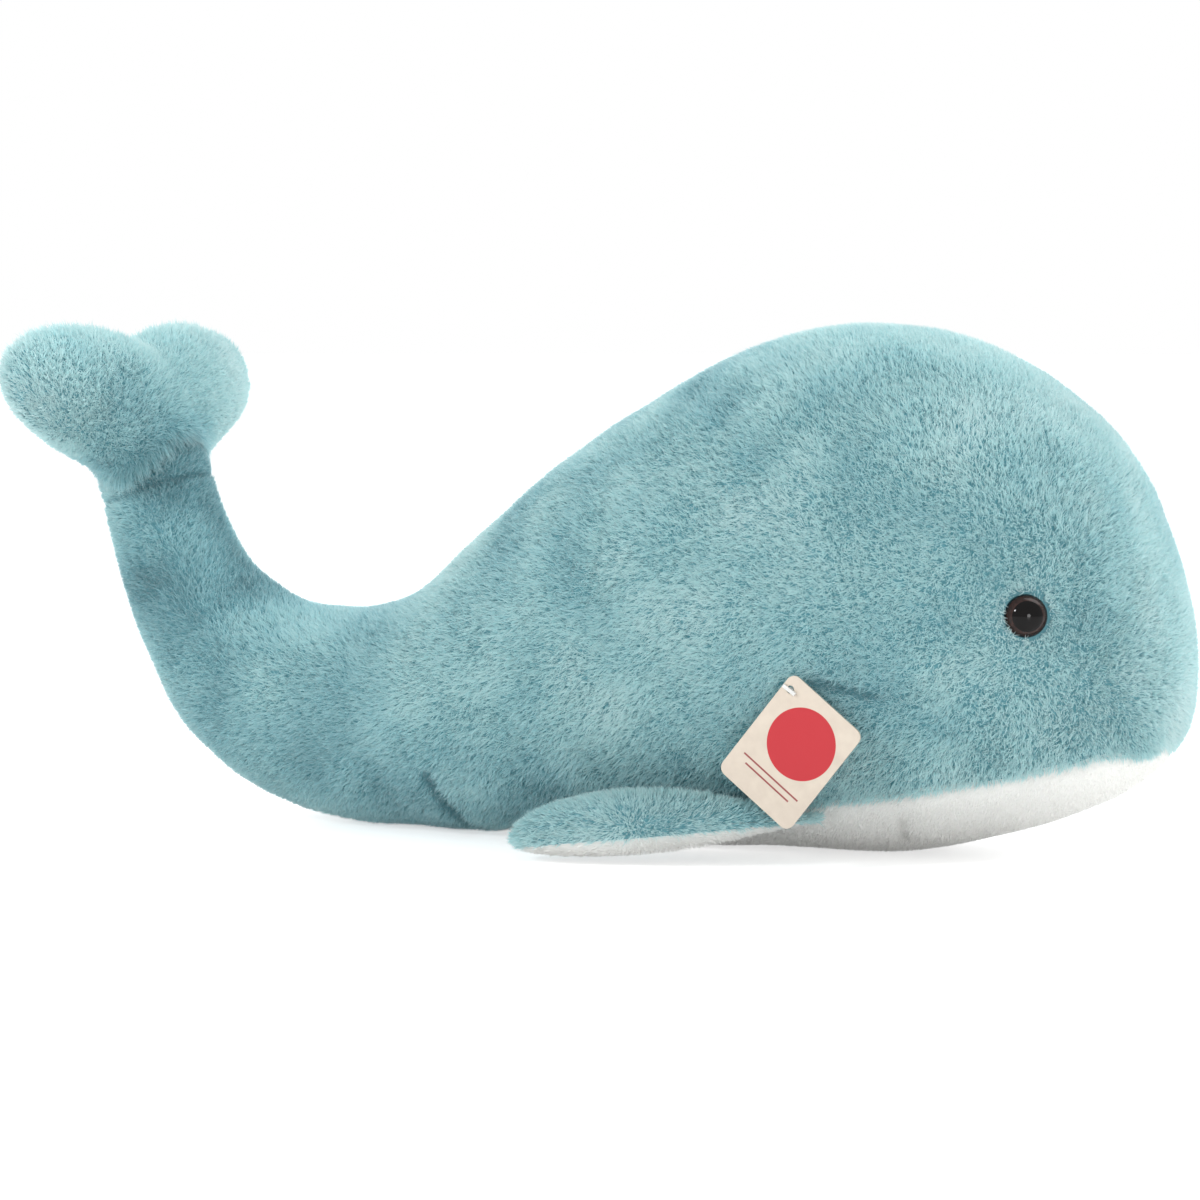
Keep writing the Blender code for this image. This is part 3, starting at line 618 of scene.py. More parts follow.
def put(tree, sockets, name, value):
    """Link a wrapped socket to an input, or set its value. A colour may leave out its alpha."""
    if isinstance(value, Shade):
        tree.links.new(value.socket, sockets[name])
        return
    if sockets[name].type == "RGBA" and len(value) == 3:
        value = (*value, 1)
    sockets[name].default_value = value


def fill_ramp(ramp, stops):
    """Give a colour ramp its stops, each a place and a colour."""
    while len(ramp.elements) < len(stops):
        ramp.elements.new(0.5)
    for element, (place, colour) in zip(ramp.elements, stops):
        element.position = place
        element.color = (*colour, 1)


class Finish:
    """A material with a Principled shader and the nodes that feed it."""

    def __init__(self, name, **settings):
        self.material = bpy.data.materials.new(name)
        self.material.use_nodes = True
        self.tree = self.material.node_tree
        self.shader = self.tree.nodes["Principled BSDF"]
        self.root = Shade(self.tree, None)
        for label, value in settings.items():
            self.shader.inputs[label.replace("_", " ")].default_value = value

    def place(self):
        """The piece's own coordinates."""
        return self.root.out(self.root.node("ShaderNodeTexCoord"), "Object")

    def split(self, vector, *axes):
        """Some of a vector's values."""
        made = self.root.node("ShaderNodeSeparateXYZ", sockets={"Vector": vector})
        return [self.root.out(made, axis) for axis in axes]

    def strand_map(self):
        """Each strand's tone and the share of its length."""
        made = self.root.node("ShaderNodeUVMap", {"uv_map": STRAND_MAP})
        return self.split(self.root.out(made), "X", "Y")

    def grain(self, scale):
        """Noise on the piece's own coordinates."""
        sockets = {
            "Vector": self.place(), "Scale": scale, "Detail": GRAIN_DETAIL, "Roughness": GRAIN_ROUGHNESS,
        }
        return self.root.out(self.root.node("ShaderNodeTexNoise", sockets=sockets))

    def ramp(self, value, places, colours):
        """A colour from a value."""
        settings = {"stops": list(zip(places, colours))}
        return self.root.out(self.root.node("ShaderNodeValToRGB", settings, {"Fac": value}))

    def speckle(self, scale, low, high):
        """A colour that grain moves between two."""
        return self.ramp(self.grain(scale), GRAIN_STOPS, (low, high))

    def mix(self, share, first, second):
        """A colour between two."""
        made = self.root.node("ShaderNodeMix", {"data_type": "RGBA"}, {0: share, 6: first, 7: second})
        return self.root.out(made, 2)

    def bump(self, scale, distance, strength):
        """Grain as a bump on the shader's normal."""
        sockets = {"Height": self.grain(scale), "Distance": distance, "Strength": strength}
        self.feed("Normal", self.root.out(self.root.node("ShaderNodeBump", sockets=sockets)))

    def thin(self, share, colour):
        """Let a share of the light through from behind."""
        behind = self.root.node("ShaderNodeBsdfTranslucent", sockets={"Color": colour})
        sockets = {0: share, 1: self.root.out(self.shader), 2: self.root.out(behind)}
        both = self.root.node("ShaderNodeMixShader", sockets=sockets)
        put(self.tree, self.tree.nodes["Material Output"].inputs, "Surface", self.root.out(both))

    def feed(self, name, value):
        """Link or set a socket of the shader."""
        put(self.tree, self.shader.inputs, name, value)


def pile_finish(name, through, root, tones, painted_tip_sheen):
    """Pile whose strands darken towards their roots, a painted shade deep in the pile, and let a share of
    the light through.
    """
    made = Finish(name, Roughness=0.6, Specular_IOR_Level=0.3, Sheen_Weight=0.6, Sheen_Roughness=0.5)
    tone, share = made.strand_map()
    body = made.ramp(tone, TONE_STOPS, tones)
    # Darker roots, a painted shade deep in the pile
    body = made.mix(share.above(*ROOT_FADE), root, body)
    # Paler tips, a painted sheen
    body = made.mix(share.above(*PAINTED_SHEEN_FADE) * PAINTED_SHEEN_SHARE, body, painted_tip_sheen)
    made.feed("Base Color", body)
    made.thin(through, body)
    return made.material


def teal_pile():
    """The blue pile, with tones from the painted shade of its creases to its pale crown."""
    painted_crease_shade, deep, dim = (0.12, 0.31, 0.36), (0.27, 0.53, 0.58), (0.42, 0.70, 0.74)
    tones = (painted_crease_shade, deep, dim, (0.59, 0.83, 0.84), (0.78, 0.91, 0.91))
    return pile_finish("teal_pile", 0.35, (0.28, 0.52, 0.57), tones, painted_tip_sheen=(0.92, 0.97, 0.96))


def white_pile():
    """The white pile of the belly and under the flippers."""
    # The darkest tone is painted shade for the creases of the belly
    painted_crease_shade, deep, dim = (0.78, 0.78, 0.76), (0.86, 0.86, 0.84), (0.93, 0.93, 0.91)
    tones = (painted_crease_shade, deep, dim, (0.96, 0.96, 0.94), (0.97, 0.97, 0.96))
    return pile_finish("white_pile", 0.22, (0.94, 0.94, 0.92), tones, painted_tip_sheen=(0.98, 0.98, 0.97))


def speckled(name, scale, low, high, bump=None, **settings):
    """A finish that grain moves between two colours, with a bump where its three values are given."""
    made = Finish(name, **settings)
    made.feed("Base Color", made.speckle(scale, low, high))
    if bump:
        made.bump(*bump)
    return made.material


def cloth_finish(name, low, high):
    """Knitted backing between the strands."""
    return speckled(name, 700.0, low, high, (2400.0, 0.0002, 0.6), Roughness=0.95, Specular_IOR_Level=0.2)


def eye_pupil():
    """Glossy black plastic with faint moulding marks."""
    low, high = (0.002, 0.002, 0.002), (0.004, 0.003, 0.003)
    return speckled("eye_pupil", 300.0, low, high, Roughness=0.04, Specular_IOR_Level=0.16)


def eye_iris():
    """Brown plastic with fine flecks."""
    low, high = (0.014, 0.007, 0.006), (0.042, 0.018, 0.014)
    return speckled("eye_iris", 900.0, low, high, Roughness=0.15, Specular_IOR_Level=0.22)


def washer_plastic():
    """White moulded plastic with a fine texture."""
    low, high = (0.82, 0.82, 0.80), (0.90, 0.90, 0.88)
    return speckled("washer_plastic", 500.0, low, high, (1500.0, 0.00005, 0.4), Roughness=0.5)


def milky_nylon():
    """Milky nylon."""
    return speckled("milky_nylon", 800.0, (0.74, 0.75, 0.73), (0.84, 0.84, 0.82), Roughness=0.3)


# Meshes


def link(name, mesh, *materials):
    """An object for a mesh, with its materials."""
    item = bpy.data.objects.new(name, mesh)
    bpy.context.scene.collection.objects.link(item)
    for made in materials:
        mesh.materials.append(made)
    return item


def grid_mesh(bm, points, pale):
    """Add a grid of points as a sheet closed round, its pale points in the second material."""
    rows, columns = points.shape[:2]
    made = bmesh.ops.create_grid(bm, x_segments=columns, y_segments=rows - 1, size=1)
    for vert in made["verts"]:
        column = round((vert.co.x + 1) / 2 * columns) % columns
        row = round((vert.co.y + 1) / 2 * (rows - 1))
        vert.co = points[row, column]
        if pale[row, column]:
            for face in vert.link_faces:
                face.material_index = 1


def finish_mesh(bm, name, *materials):
    """Turn a bmesh into a smooth closed object."""
    bmesh.ops.remove_doubles(bm, verts=bm.verts[:], dist=MERGE)
    bmesh.ops.dissolve_degenerate(bm, edges=bm.edges[:], dist=MERGE)
    bmesh.ops.recalc_face_normals(bm, faces=bm.faces[:])
    mesh = bpy.data.meshes.new(name)
    bm.to_mesh(mesh)
    bm.free()
    mesh.shade_smooth()
    return link(name, mesh, *materials)


class Patch:
    """A piece of skin: a grid of pile roots, a grid of pile tips, the nap's direction and the coat."""

    def __init__(self, roots, tips, nap, coat, creased=False):
        self.roots = roots
        self.tips = tips
        self.nap = nap
        self.coat = coat
        self.creased = creased
        self.ball = 0.0

    def sample(self, density, rng):
        """Scattered roots, evenly spread by area: root, tip and nap of each."""
        middle = (self.tips + self.roots) / 2
        one = middle[1:, 1:] - middle[:-1, :-1]
        two = middle[1:, :-1] - middle[:-1, 1:]
        area = np.linalg.norm(np.cross(one, two), axis=-1) / 2
        weights = area.ravel()
        count = int(weights.sum() * SQUARE_MM_A_SQUARE_M * density)
        cells = rng.choice(len(weights), size=count, p=weights / weights.sum())
        row, column = np.unravel_index(cells, area.shape)
        down = rng.random(count)[:, None]
        over = rng.random(count)[:, None]

        def between(grid):
            top = grid[row, column] * (1 - over) + grid[row, column + 1] * over
            low = grid[row + 1, column] * (1 - over) + grid[row + 1, column + 1] * over
            return top * (1 - down) + low * down

        return between(self.roots), between(self.tips), unit(between(self.nap))


def strand_shape():
    """One strand as a thin blade, pointed at both ends: its corners, as side and height, and its faces."""
    bm = bmesh.new()
    bmesh.ops.create_grid(bm, x_segments=1, y_segments=2, size=1)
    for end in (-1, 1):
        pair = [vert for vert in bm.verts if vert.co.y * end > 0.5]
        bmesh.ops.pointmerge(bm, verts=pair, merge_co=(0, end, 0))
    bm.verts.index_update()
    places = np.array([(vert.co.x, (vert.co.y + 1) / 2) for vert in bm.verts])
    faces = np.array([[vert.index for vert in face.verts] for face in bm.faces])
    bm.free()
    return places, faces


def strand_mesh(name, root, middle, tip, width, tone, material):
    """Many strands in one mesh. Their map holds the tone and the share of the length."""
    places, faces = strand_shape()
    count = len(root)
    share = places[:, 1]
    bend = np.stack(((1 - share) * (1 - share), 2 * share * (1 - share), share * share))
    control = 2 * middle - (root + tip) / 2
    line = (
        bend[0][None, :, None] * root[:, None]
        + bend[1][None, :, None] * control[:, None]
        + bend[2][None, :, None] * tip[:, None]
    )
    spots = line + places[None, :, 0, None] / 2 * width[:, None]
    spots[..., 2] = np.maximum(spots[..., 2], FLOOR_CLEAR)
    loops = (faces[None] + len(places) * np.arange(count)[:, None, None]).reshape(-1)
    mesh = bpy.data.meshes.new(name)
    mesh.vertices.add(count * len(places))
    mesh.vertices.foreach_set("co", spots.reshape(-1).astype(np.float32))
    mesh.loops.add(len(loops))
    mesh.loops.foreach_set("vertex_index", loops.astype(np.int32))
    mesh.polygons.add(len(loops) // 3)
    mesh.polygons.foreach_set("loop_start", np.arange(0, len(loops), 3, dtype=np.int32))
    layer = mesh.uv_layers.new(name=STRAND_MAP)
    side = tone[:, None] + STRAND_MAP_HALF * places[None, :, 0]
    both = np.stack((side, np.broadcast_to(share, side.shape)), axis=-1).reshape(-1, 2)
    layer.data.foreach_set("uv", both[loops].reshape(-1).astype(np.float32))
    mesh.update(calc_edges=True)
    mesh.shade_smooth()
    return link(name, mesh, material)


def dents(points):
    """How deep the creases of the trunk sink at each point."""
    total = np.zeros(points.shape[:-1])
    for start, end, deep, wide in CREASES:
        first, last = (np.array(surface_frame(*place).translation) for place in (start, end))
        line = last - first
        share = np.clip((points - first) @ line / (line @ line), 0, 1)
        away = np.linalg.norm(points - first - share[..., None] * line, axis=-1)
        total = total + deep * np.exp(-((away / wide) ** 2))
    centre, along, _ = waist_frame()
    level = (points - centre - SHIFT) @ along + WAIST_CREASE_DROP
    level = level + uneven(points, WAIST_LEVEL_WAVER)
    near = np.linalg.norm(points - centre - SHIFT, axis=-1) < 2 * WAIST_RADIUS
    deep = WAIST_CREASE_DEPTH * (WAIST_CREASE_SHARE + uneven(points, WAIST_DEPTH_WAVER))
    return total + near * deep * np.exp(-((level / WAIST_CREASE_WIDTH) ** 2))


def painted_light_tone(patch, root):
    """Painted shade and light added to the tone by place: darker on the tail and low down, paler at the
    flukes' rims.
    """
    if patch.coat is WHITE_COAT or not (patch.ball > 0 or patch.creased):
        return 0
    back = np.clip((SADDLE_END - root[:, :1]) / TAIL_FADE, 0, 1)
    low = np.clip((LOW_HEIGHT - root[:, 2:]) / LOW_FADE, 0, 1)
    low = low * np.clip((LOW_FRONT - root[:, :1]) / LOW_FADE, 0, 1)
    # Painted light at the flukes' rims
    rim = 0
    if patch.ball > 0:
        hub = waist_frame()[0] + SHIFT
        out = np.linalg.norm(root - hub, axis=-1, keepdims=True) - WAIST_RADIUS
        rim = np.clip(out / FLUKE_FADE, 0, 1)
    return TAIL_PAINTED_SHADE * back + (FLUKE_RIM_PAINTED_LIGHT - TAIL_PAINTED_SHADE) * rim + LOW_PAINTED_SHADE * low * (1 - back)


def beside(vectors, ways):
    """What is left of vectors without their part along some directions."""
    return vectors - np.sum(vectors * ways, axis=-1, keepdims=True) * ways


def hang_over_waist(patch, root, middle, end):
    """Strands by the ball of the waist, pushed over it and out of it."""
    clear = np.linalg.norm(root - patch.hub, axis=-1, keepdims=True) - patch.ball
    near = np.clip(1 - clear / SKIRT_REACH, 0, 1) ** 2
    end = end - SKIRT_PUSH * near * patch.axis
    middle = middle - SKIRT_MIDDLE_PUSH * near * patch.axis
    away = np.linalg.norm(end - patch.hub, axis=-1, keepdims=True)
    end = patch.hub + (end - patch.hub) * np.maximum(away, patch.ball + SKIRT_CLEAR) / away
    return clear[:, 0] > 0, middle, end


def part_round_eye(seat, root, middle, end):
    """Strands by an eye, pushed away from it: which stay, how near they are, middle and end."""
    hub, face = np.array(seat.translation), np.array(seat.col[2][:3])
    away = root - hub
    away = away - (away @ face)[:, None] * face
    far = np.linalg.norm(away, axis=-1)
    near = np.linalg.norm(root - hub, axis=-1) < EYE_NEAR
    stays = ~(near & (far < EYE_RADIUS + EYE_CLEAR))
    close = np.where(near, np.clip(1 - (far - EYE_RADIUS) / PARTING_REACH, 0, 1), 0)[:, None]
    behind = np.clip(unit(away) @ BEHIND_EYE, 0, 1)[:, None]
    push = close * (1 - BEHIND_EYE_SHARE * behind)
    end = end + PARTING_PUSH * push * unit(away)
    middle = middle + PARTING_MIDDLE_PUSH * push * unit(away)
    return stays, close, middle, end


def comb(patch, density, seed):
    """Grow a patch's strands: root, middle, end, width vector and tone."""
    rng = np.random.default_rng(seed)
    coat = patch.coat
    root, tip, nap = patch.sample(density, rng)
    one_each = (len(root), 1)
    rise = tip - root
    height = np.maximum(np.linalg.norm(rise, axis=-1, keepdims=True), coat.least)
    up = unit(rise)
    sunk = dents(tip)[:, None] if patch.creased else np.zeros(one_each)
    root = root - sunk * up
    centre, cell = nearest_clump(root, CLUMP_SPACING)
    clump_along, clump_across, clump_height, clump_tone = (
        2 * hashed(cell, number)[:, None] - 1 for number in CLUMP_SEEDS
    )
    nap = unit(beside(nap, up))
    across = np.cross(up, nap)
    own_along = rng.normal(size=one_each)
    own_across = rng.normal(size=one_each)
    along = uneven(root, LEAN_ALONG)[:, None] + CLUMP_LEAN_SHARE * clump_along + OWN_LEAN_SHARE * own_along
    over = uneven(root, LEAN_ACROSS)[:, None] + CLUMP_LEAN_SHARE * clump_across + OWN_LEAN_SHARE * own_across
    lean = (coat.laid_share + coat.wild_share * along) * nap + coat.wild_share * over * across
    tall = 1 + CLUMP_HEIGHT_SHARE * clump_height + OWN_HEIGHT_SHARE * own_along
    tall = tall + uneven(root, HEIGHT_CHANGE)[:, None]
    pull = coat.wild_share * beside(centre - root, up)
    end = root + height * tall * up + height * lean + TIP_PULL_SHARE * pull
    middle = root + height * tall * MIDDLE_RISE_SHARE * up + height * lean * MIDDLE_LEAN_SHARE
    middle = middle + MIDDLE_PULL_SHARE * pull
    keep = np.ones(len(root), bool)
    if patch.ball > 0:
        keep, middle, end = hang_over_waist(patch, root, middle, end)
    crown = np.zeros(one_each)
    for seat in EYES:
        stays, close, middle, end = part_round_eye(seat, root, middle, end)
        keep = keep & stays
        crown = crown + close
    stem = unit(end - root)
    flat = unit(np.cross(stem, up))
    turn = rng.normal(scale=STRAND_TWIST, size=one_each)
    width = np.cos(turn) * flat + np.sin(turn) * np.cross(stem, flat)
    outward = np.sum(np.cross(width, stem) * up, axis=-1, keepdims=True)
    width = np.where(outward < 0, -width, width)
    width = width * coat.wide_share * STRAND_WIDTH * rng.uniform(*STRAND_WIDTH_SHARES, size=one_each)
    tone = CLUMP_TONE * clump_tone + OWN_TONE * rng.normal(size=one_each) + CROWN_TONE * crown
    tone = tone + uneven(root, SMALL_TONES)[:, None] + uneven(root, BROAD_TONES)[:, None]
    # Painted shade by place and by the depth of a crease, and painted light at the flukes' rims, go into the
    # tone
    tone = MIDDLE_TONE + coat.wild_share * tone + painted_light_tone(patch, root) - PAINTED_SHADE_A_METRE_SUNK * sunk
    tone = np.clip(tone[:, 0], LEAST_TONE, MOST_TONE)
    return [item[keep] for item in (root, middle, end, width, tone)]


def pile(node, body, patch, material, seed):
    """The pile of a CAD skin, in pieces of a size that the export keeps whole."""
    density = STRANDS_A_SQUARE_MM
    strands = comb(patch, density * patch.coat.density_share, seed)
    pieces = max(1, math.ceil(len(strands[0]) / MOST_STRANDS_A_PIECE))
    order = np.argsort(strands[0][:, 0], kind="stable")
    for index, chosen in enumerate(np.array_split(order, pieces)):
        item = strand_mesh(f"{node}_pile_{index + 1}", *[part[chosen] for part in strands], material)
        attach(item, body)
        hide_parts(node)


# Trunk and tail


def spine_places(first, last):
    """Places along the spine, dense enough for the cloth."""
    start = max(first, 0)
    count = int(round((last - start) * ROWS_A_STATION))
    places = [start + index * (last - start) / count for index in range(count + 1)]
    if first < 0:
        places = [first + index / DOME_ROWS for index in range(DOME_ROWS)] + places
    return places


def trunk_sheet(places, turns, creased=False):
    """Roots, tips and nap of part of the trunk, with the belly seam drawn in."""
    points, normals, alongs = form_rows(places, turns)
    stations = np.array(places)[:, None]
    seam = np.array([seam_turn(u) for u in places])[:, None]
    turned = np.abs((turns + math.pi) % (2 * math.pi) - math.pi)
    radius = np.linalg.norm(points[..., 1:] - points[..., 1:].mean(axis=1, keepdims=True), axis=-1)
    reach = (turned - seam) * np.maximum(radius, LEAST_SECTION)
    seamed = (stations > BELLY_BACK) & (stations < BELLY_FRONT)
    white = np.where(seamed, np.clip(reach / SEAM_REACH + 0.5, 0, 1), 0)
    groove = np.where(seamed, np.exp(-((reach / (SEAM_GROOVE_SHARE * SEAM_REACH)) ** 2)), 0)
    depth = BLUE_PILE + (WHITE_PILE - BLUE_PILE) * white + SEAM_PULL * groove
    lumps = uneven(points, BROAD_LUMPS) + uneven(points, SMALL_LUMPS)
    if creased:
        lumps = lumps - dents(points)
    swell = DOME_SWELL * np.clip(-stations / DOME_FADE_SHARE, 0, 1)
    tips = points + (lumps + swell - SEAM_SINK_SHARE * SEAM_PULL * groove)[..., None] * normals
    roots = points + (lumps - depth)[..., None] * normals
    roots[..., 2] = np.maximum(roots[..., 2], ROOT_CLEAR)
    return roots, tips, -alongs


def trunk_cloth(teal, white):
    """The closed cloth of the trunk and the tail."""
    places = spine_places(-1, NOSE)
    columns = 2 * SIDE_COLUMNS + BELLY_COLUMNS
    turns = np.tile(np.linspace(0, 2 * math.pi, columns, endpoint=False), (len(places), 1))
    roots, _, _ = trunk_sheet(places, turns, creased=True)
    seam = np.array([seam_turn(u) for u in places])[:, None]
    bm = bmesh.new()
    grid_mesh(bm, roots, np.abs(turns - math.pi) < math.pi - seam)
    item = finish_mesh(bm, "trunk_cloth", teal, white)
    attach(item, "trunk")
    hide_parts("body_filling", "tail_filling")


def trunk_patch(first, last, start, end, coat=BLUE_COAT):
    """The patch of a skin of the trunk. Its edges are functions of the angle to the belly seam."""
    places = spine_places(first, last)
    seams = np.array([seam_turn(u) for u in places])[:, None]
    share = np.linspace(0, 1, BELLY_COLUMNS if coat is WHITE_COAT else SIDE_COLUMNS)[None]
    low, high = start(seams), end(seams)
    turns = low + share * (high - low)
    return Patch(*trunk_sheet(places, turns), coat, creased=True)


def dress_trunk(blue, white, teal_cloth, white_cloth):
    """Cloth and pile of the trunk and the tail."""
    trunk_cloth(teal_cloth, white_cloth)
    for name, first, last, seed in (("body_side", SADDLE, NOSE, 1), ("tail_cover", -1, SADDLE, 3)):
        left = trunk_patch(first, last, np.zeros_like, lambda seam: seam)
        right = trunk_patch(first, last, lambda seam: -seam, np.zeros_like)
        pile(name + "_left", "trunk", left, blue, seed)
        pile(name + "_right", "trunk", right, blue, seed + 1)
    ends = (lambda seam: seam), (lambda seam: 2 * math.pi - seam)
    belly = trunk_patch(BELLY_BACK, BELLY_FRONT, *ends, WHITE_COAT)
    pile("belly_panel", "trunk", belly, white, seed=5)


# Flukes and flippers


class Pillow:
    """A stuffed form between two panels that meet in a flat outline, in its own frame."""

    def __init__(self, points, centre, rise, drop, place, web=0.0):
        count = len(points)
        found = []
        for index in range(count):
            around = [np.array(points[(index + step) % count]) for step in (-1, 0, 1, 2)]
            for part in range(PILLOW_STEPS):
                found.append(catmull(*around, part / PILLOW_STEPS))
        self.outline = np.array(found + found[:1])
        self.centre = np.array((*centre, 0))
        self.swell = {1: rise, -1: drop}
        self.place = place
        self.web = web

    def sheet(self, side, depth, inset):
        """A grid of one side's points, from the middle to the outline."""
        share = np.sin(np.linspace(0, math.pi / 2, PILLOW_ROWS + 1))[:, None]
        power = self.outline[None, :, 2]
        rim = np.concatenate((self.outline[:, :2], np.zeros((len(self.outline), 1))), axis=1)
        reach = np.linalg.norm(rim - self.centre, axis=-1)[None]
        flat = self.centre + (share * (1 - inset / reach))[..., None] * (rim - self.centre)[None]
        height = (self.swell[side] - depth) * np.maximum(1 - share * share, 0) ** power
        web = self.web * share * share * np.maximum(power - ROUND_EDGE_SHARE, 0)
        flat[..., 2] = side * (height + web)
        return flat

    def world(self, grid):
        """Points of the pillow's frame in the whale's."""
        turn = np.array(self.place.to_3x3())
        return grid @ turn.T + np.array(self.place.translation)

    def patch(self, side, coat, ball=0.0, lap=0):
        """The patch of one panel, with its nap from the root outwards and its lap under the rim."""
        roots, tips = self.sheet(side, coat.height, RIM_DEPTH), self.sheet(side, 0, 0)
        if lap and coat is WHITE_COAT:
            roots, tips = roots[:-lap], tips[:-lap]
        elif lap:
            under = slice(-2, -lap - 2, -1)
            roots = np.concatenate((roots, self.sheet(-side, coat.height, RIM_DEPTH)[under]))
            tips = np.concatenate((tips, self.sheet(-side, 0, 0)[under]))
        turn = np.array(self.place.to_3x3())
        made = Patch(self.world(roots), self.world(tips), unit(tips) @ turn.T, coat)
        made.ball, made.hub, made.axis = ball, np.array(self.place.translation), turn[:, 0]
        return made

    def cloth(self, name, upper, lower, upper_cloth, lower_cloth, ball=0.0):
        """The closed cloth under both panels."""
        bm = bmesh.new()
        for side, depth in ((1, upper), (-1, lower)):
            grid = self.world(hollowed(self.sheet(side, depth, RIM_DEPTH), ball))[:, :-1]
            pale = np.arange(len(grid))[:, None] < len(grid) - FLIPPER_LAP_ROWS
            grid_mesh(bm, grid, np.broadcast_to(pale & (side < 0), grid.shape[:2]))
        return finish_mesh(bm, name, upper_cloth, lower_cloth)


def hollowed(grid, ball):
    """Points moved out of a ball at the frame's origin, along the frame's X."""
    if ball <= 0:
        return grid
    out = ball * ball - grid[..., 1] ** 2 - grid[..., 2] ** 2
    edge = np.sqrt(np.maximum(out, 0))
    grid[..., 0] = np.where(out > 0, np.maximum(grid[..., 0], edge), grid[..., 0])
    return grid


def dress_flukes(blue, cloth):
    """Cloth and pile of the tail flukes."""
    centre, along, front = waist_frame()
    place = Matrix((Vector(along), Vector((0, 1, 0)), Vector(front))).transposed().to_4x4()
    place.translation = Vector(centre + SHIFT)
    half = [(x * FLUKE_LENGTH, y * FLUKE_WIDTH / 2, ROUND_EDGE_SHARE) for x, y in FLUKE_OUTLINE_SHARES]
    outline = half + [(x, -y, power) for x, y, power in reversed(half[:-1])]
    thick = FLUKE_THICKNESS / 2
    pillow = Pillow(outline, (FLUKE_CENTRE, 0), thick, thick, place)
    ball = WAIST_RADIUS + FLUKE_RUNNING_GAP
    item = pillow.cloth("fluke_cloth", BLUE_PILE, BLUE_PILE, cloth, cloth, ball)
    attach(item, "flukes")
    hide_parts("fluke_filling")
    pile("fluke_upper_panel", "flukes", pillow.patch(1, BLUE_COAT, ball), blue, seed=6)
    pile("fluke_lower_panel", "flukes", pillow.patch(-1, BLUE_COAT, ball), blue, seed=7)


def flipper_frame(side):
    """The flipper's frame: X forward along its hinge, Y to the whale's left, Z up."""
    ends = []
    for share in (FLIPPER_BACK_SHARE, FLIPPER_FRONT_SHARE):
        u = SADDLE + share
        points, normals, _ = form_rows([u], np.array([[side * seam_turn(u)]]))
        ends.append(Vector(points[0, 0] + FLIPPER_STANDOFF * normals[0, 0]))
    back, front = ends
    middle = (back + front) / 2
    along = (front - back).normalized()
    level = Vector((-along.y, along.x, 0)).normalized()
    tip = middle - FLIPPER_LENGTH * along + side * FLIPPER_WIDTH * level
    tip.z = FLIPPER_TIP_HEIGHT
    across = side * (tip - middle)
    across = (across - across.dot(along) * along).normalized()
    made = Matrix((along, across, along.cross(across))).transposed().to_4x4()
    made.translation = middle
    return made


def dress_flipper(side_name, side, blue, white, cloths, seed):
    """Cloth and pile of one flipper, blue above and white below."""
    spread = side * FLIPPER_WIDTH
    points = [(x * FLIPPER_LENGTH, y * spread, power) for x, y, power in FLIPPER_OUTLINE_SHARES]
    centre = (FLIPPER_CENTRE_SHARES[0] * FLIPPER_LENGTH, FLIPPER_CENTRE_SHARES[1] * spread)
    pillow = Pillow(points, centre, FLIPPER_RISE, FLIPPER_DROP, flipper_frame(side), FLIPPER_WEB)
    body = "flipper_" + side_name
    item = pillow.cloth(body + "_cloth", BLUE_PILE, WHITE_PILE, *cloths)
    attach(item, body)
    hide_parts(body + "_filling")
    upper = pillow.patch(1, BLUE_COAT, lap=FLIPPER_LAP_ROWS)
    lower = pillow.patch(-1, WHITE_COAT, lap=FLIPPER_LAP_ROWS)
    pile(body + "_upper_panel", body, upper, blue, seed)
    pile(body + "_lower_panel", body, lower, white, seed + 1)


# Eyes


def eye(side_name, seat, pupil, iris):
    """A glossy safety eye with its stem."""
    rim = EYE_BASE + EYE_FLANGE
    lifts = [index / EYE_ROWS * math.pi / 2 for index in range(EYE_ROWS)]
    dome = [(EYE_RADIUS * math.cos(lift), rim + EYE_DOME * math.sin(lift)) for lift in lifts]
    profile = [(0, EYE_STEM_END), (EYE_STEM, EYE_STEM_END), (EYE_STEM, EYE_BASE), (EYE_RADIUS, EYE_BASE)]
    profile = profile + dome + [(0, rim + EYE_DOME)]
    bm = bmesh.new()
    verts = [bm.verts.new((radius, 0, height)) for radius, height in profile]
    edges = [bm.edges.new(pair) for pair in zip(verts, verts[1:])]
    bmesh.ops.spin(
        bm, geom=verts + edges, cent=(0, 0, 0), axis=(0, 0, 1), dvec=(0, 0, 0), angle=2 * math.pi,
        steps=EYE_COLUMNS, use_merge=True, use_duplicate=False,
    )
    bmesh.ops.remove_doubles(bm, verts=bm.verts[:], dist=MERGE)
    inner, outer = IRIS_SHARES
    for face in bm.faces:
        middle = face.calc_center_median()
        share = math.hypot(middle.x, middle.y) / EYE_RADIUS
        face.material_index = int(inner < share < outer and middle.z > rim)
    bmesh.ops.transform(bm, matrix=seat, verts=bm.verts[:])
    item = finish_mesh(bm, f"eye_{side_name}_dome", pupil, iris)
    item.data.set_sharp_from_angle(angle=EYE_SHARP)
    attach(item, "trunk")
    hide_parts("eye_" + side_name)


# Tag


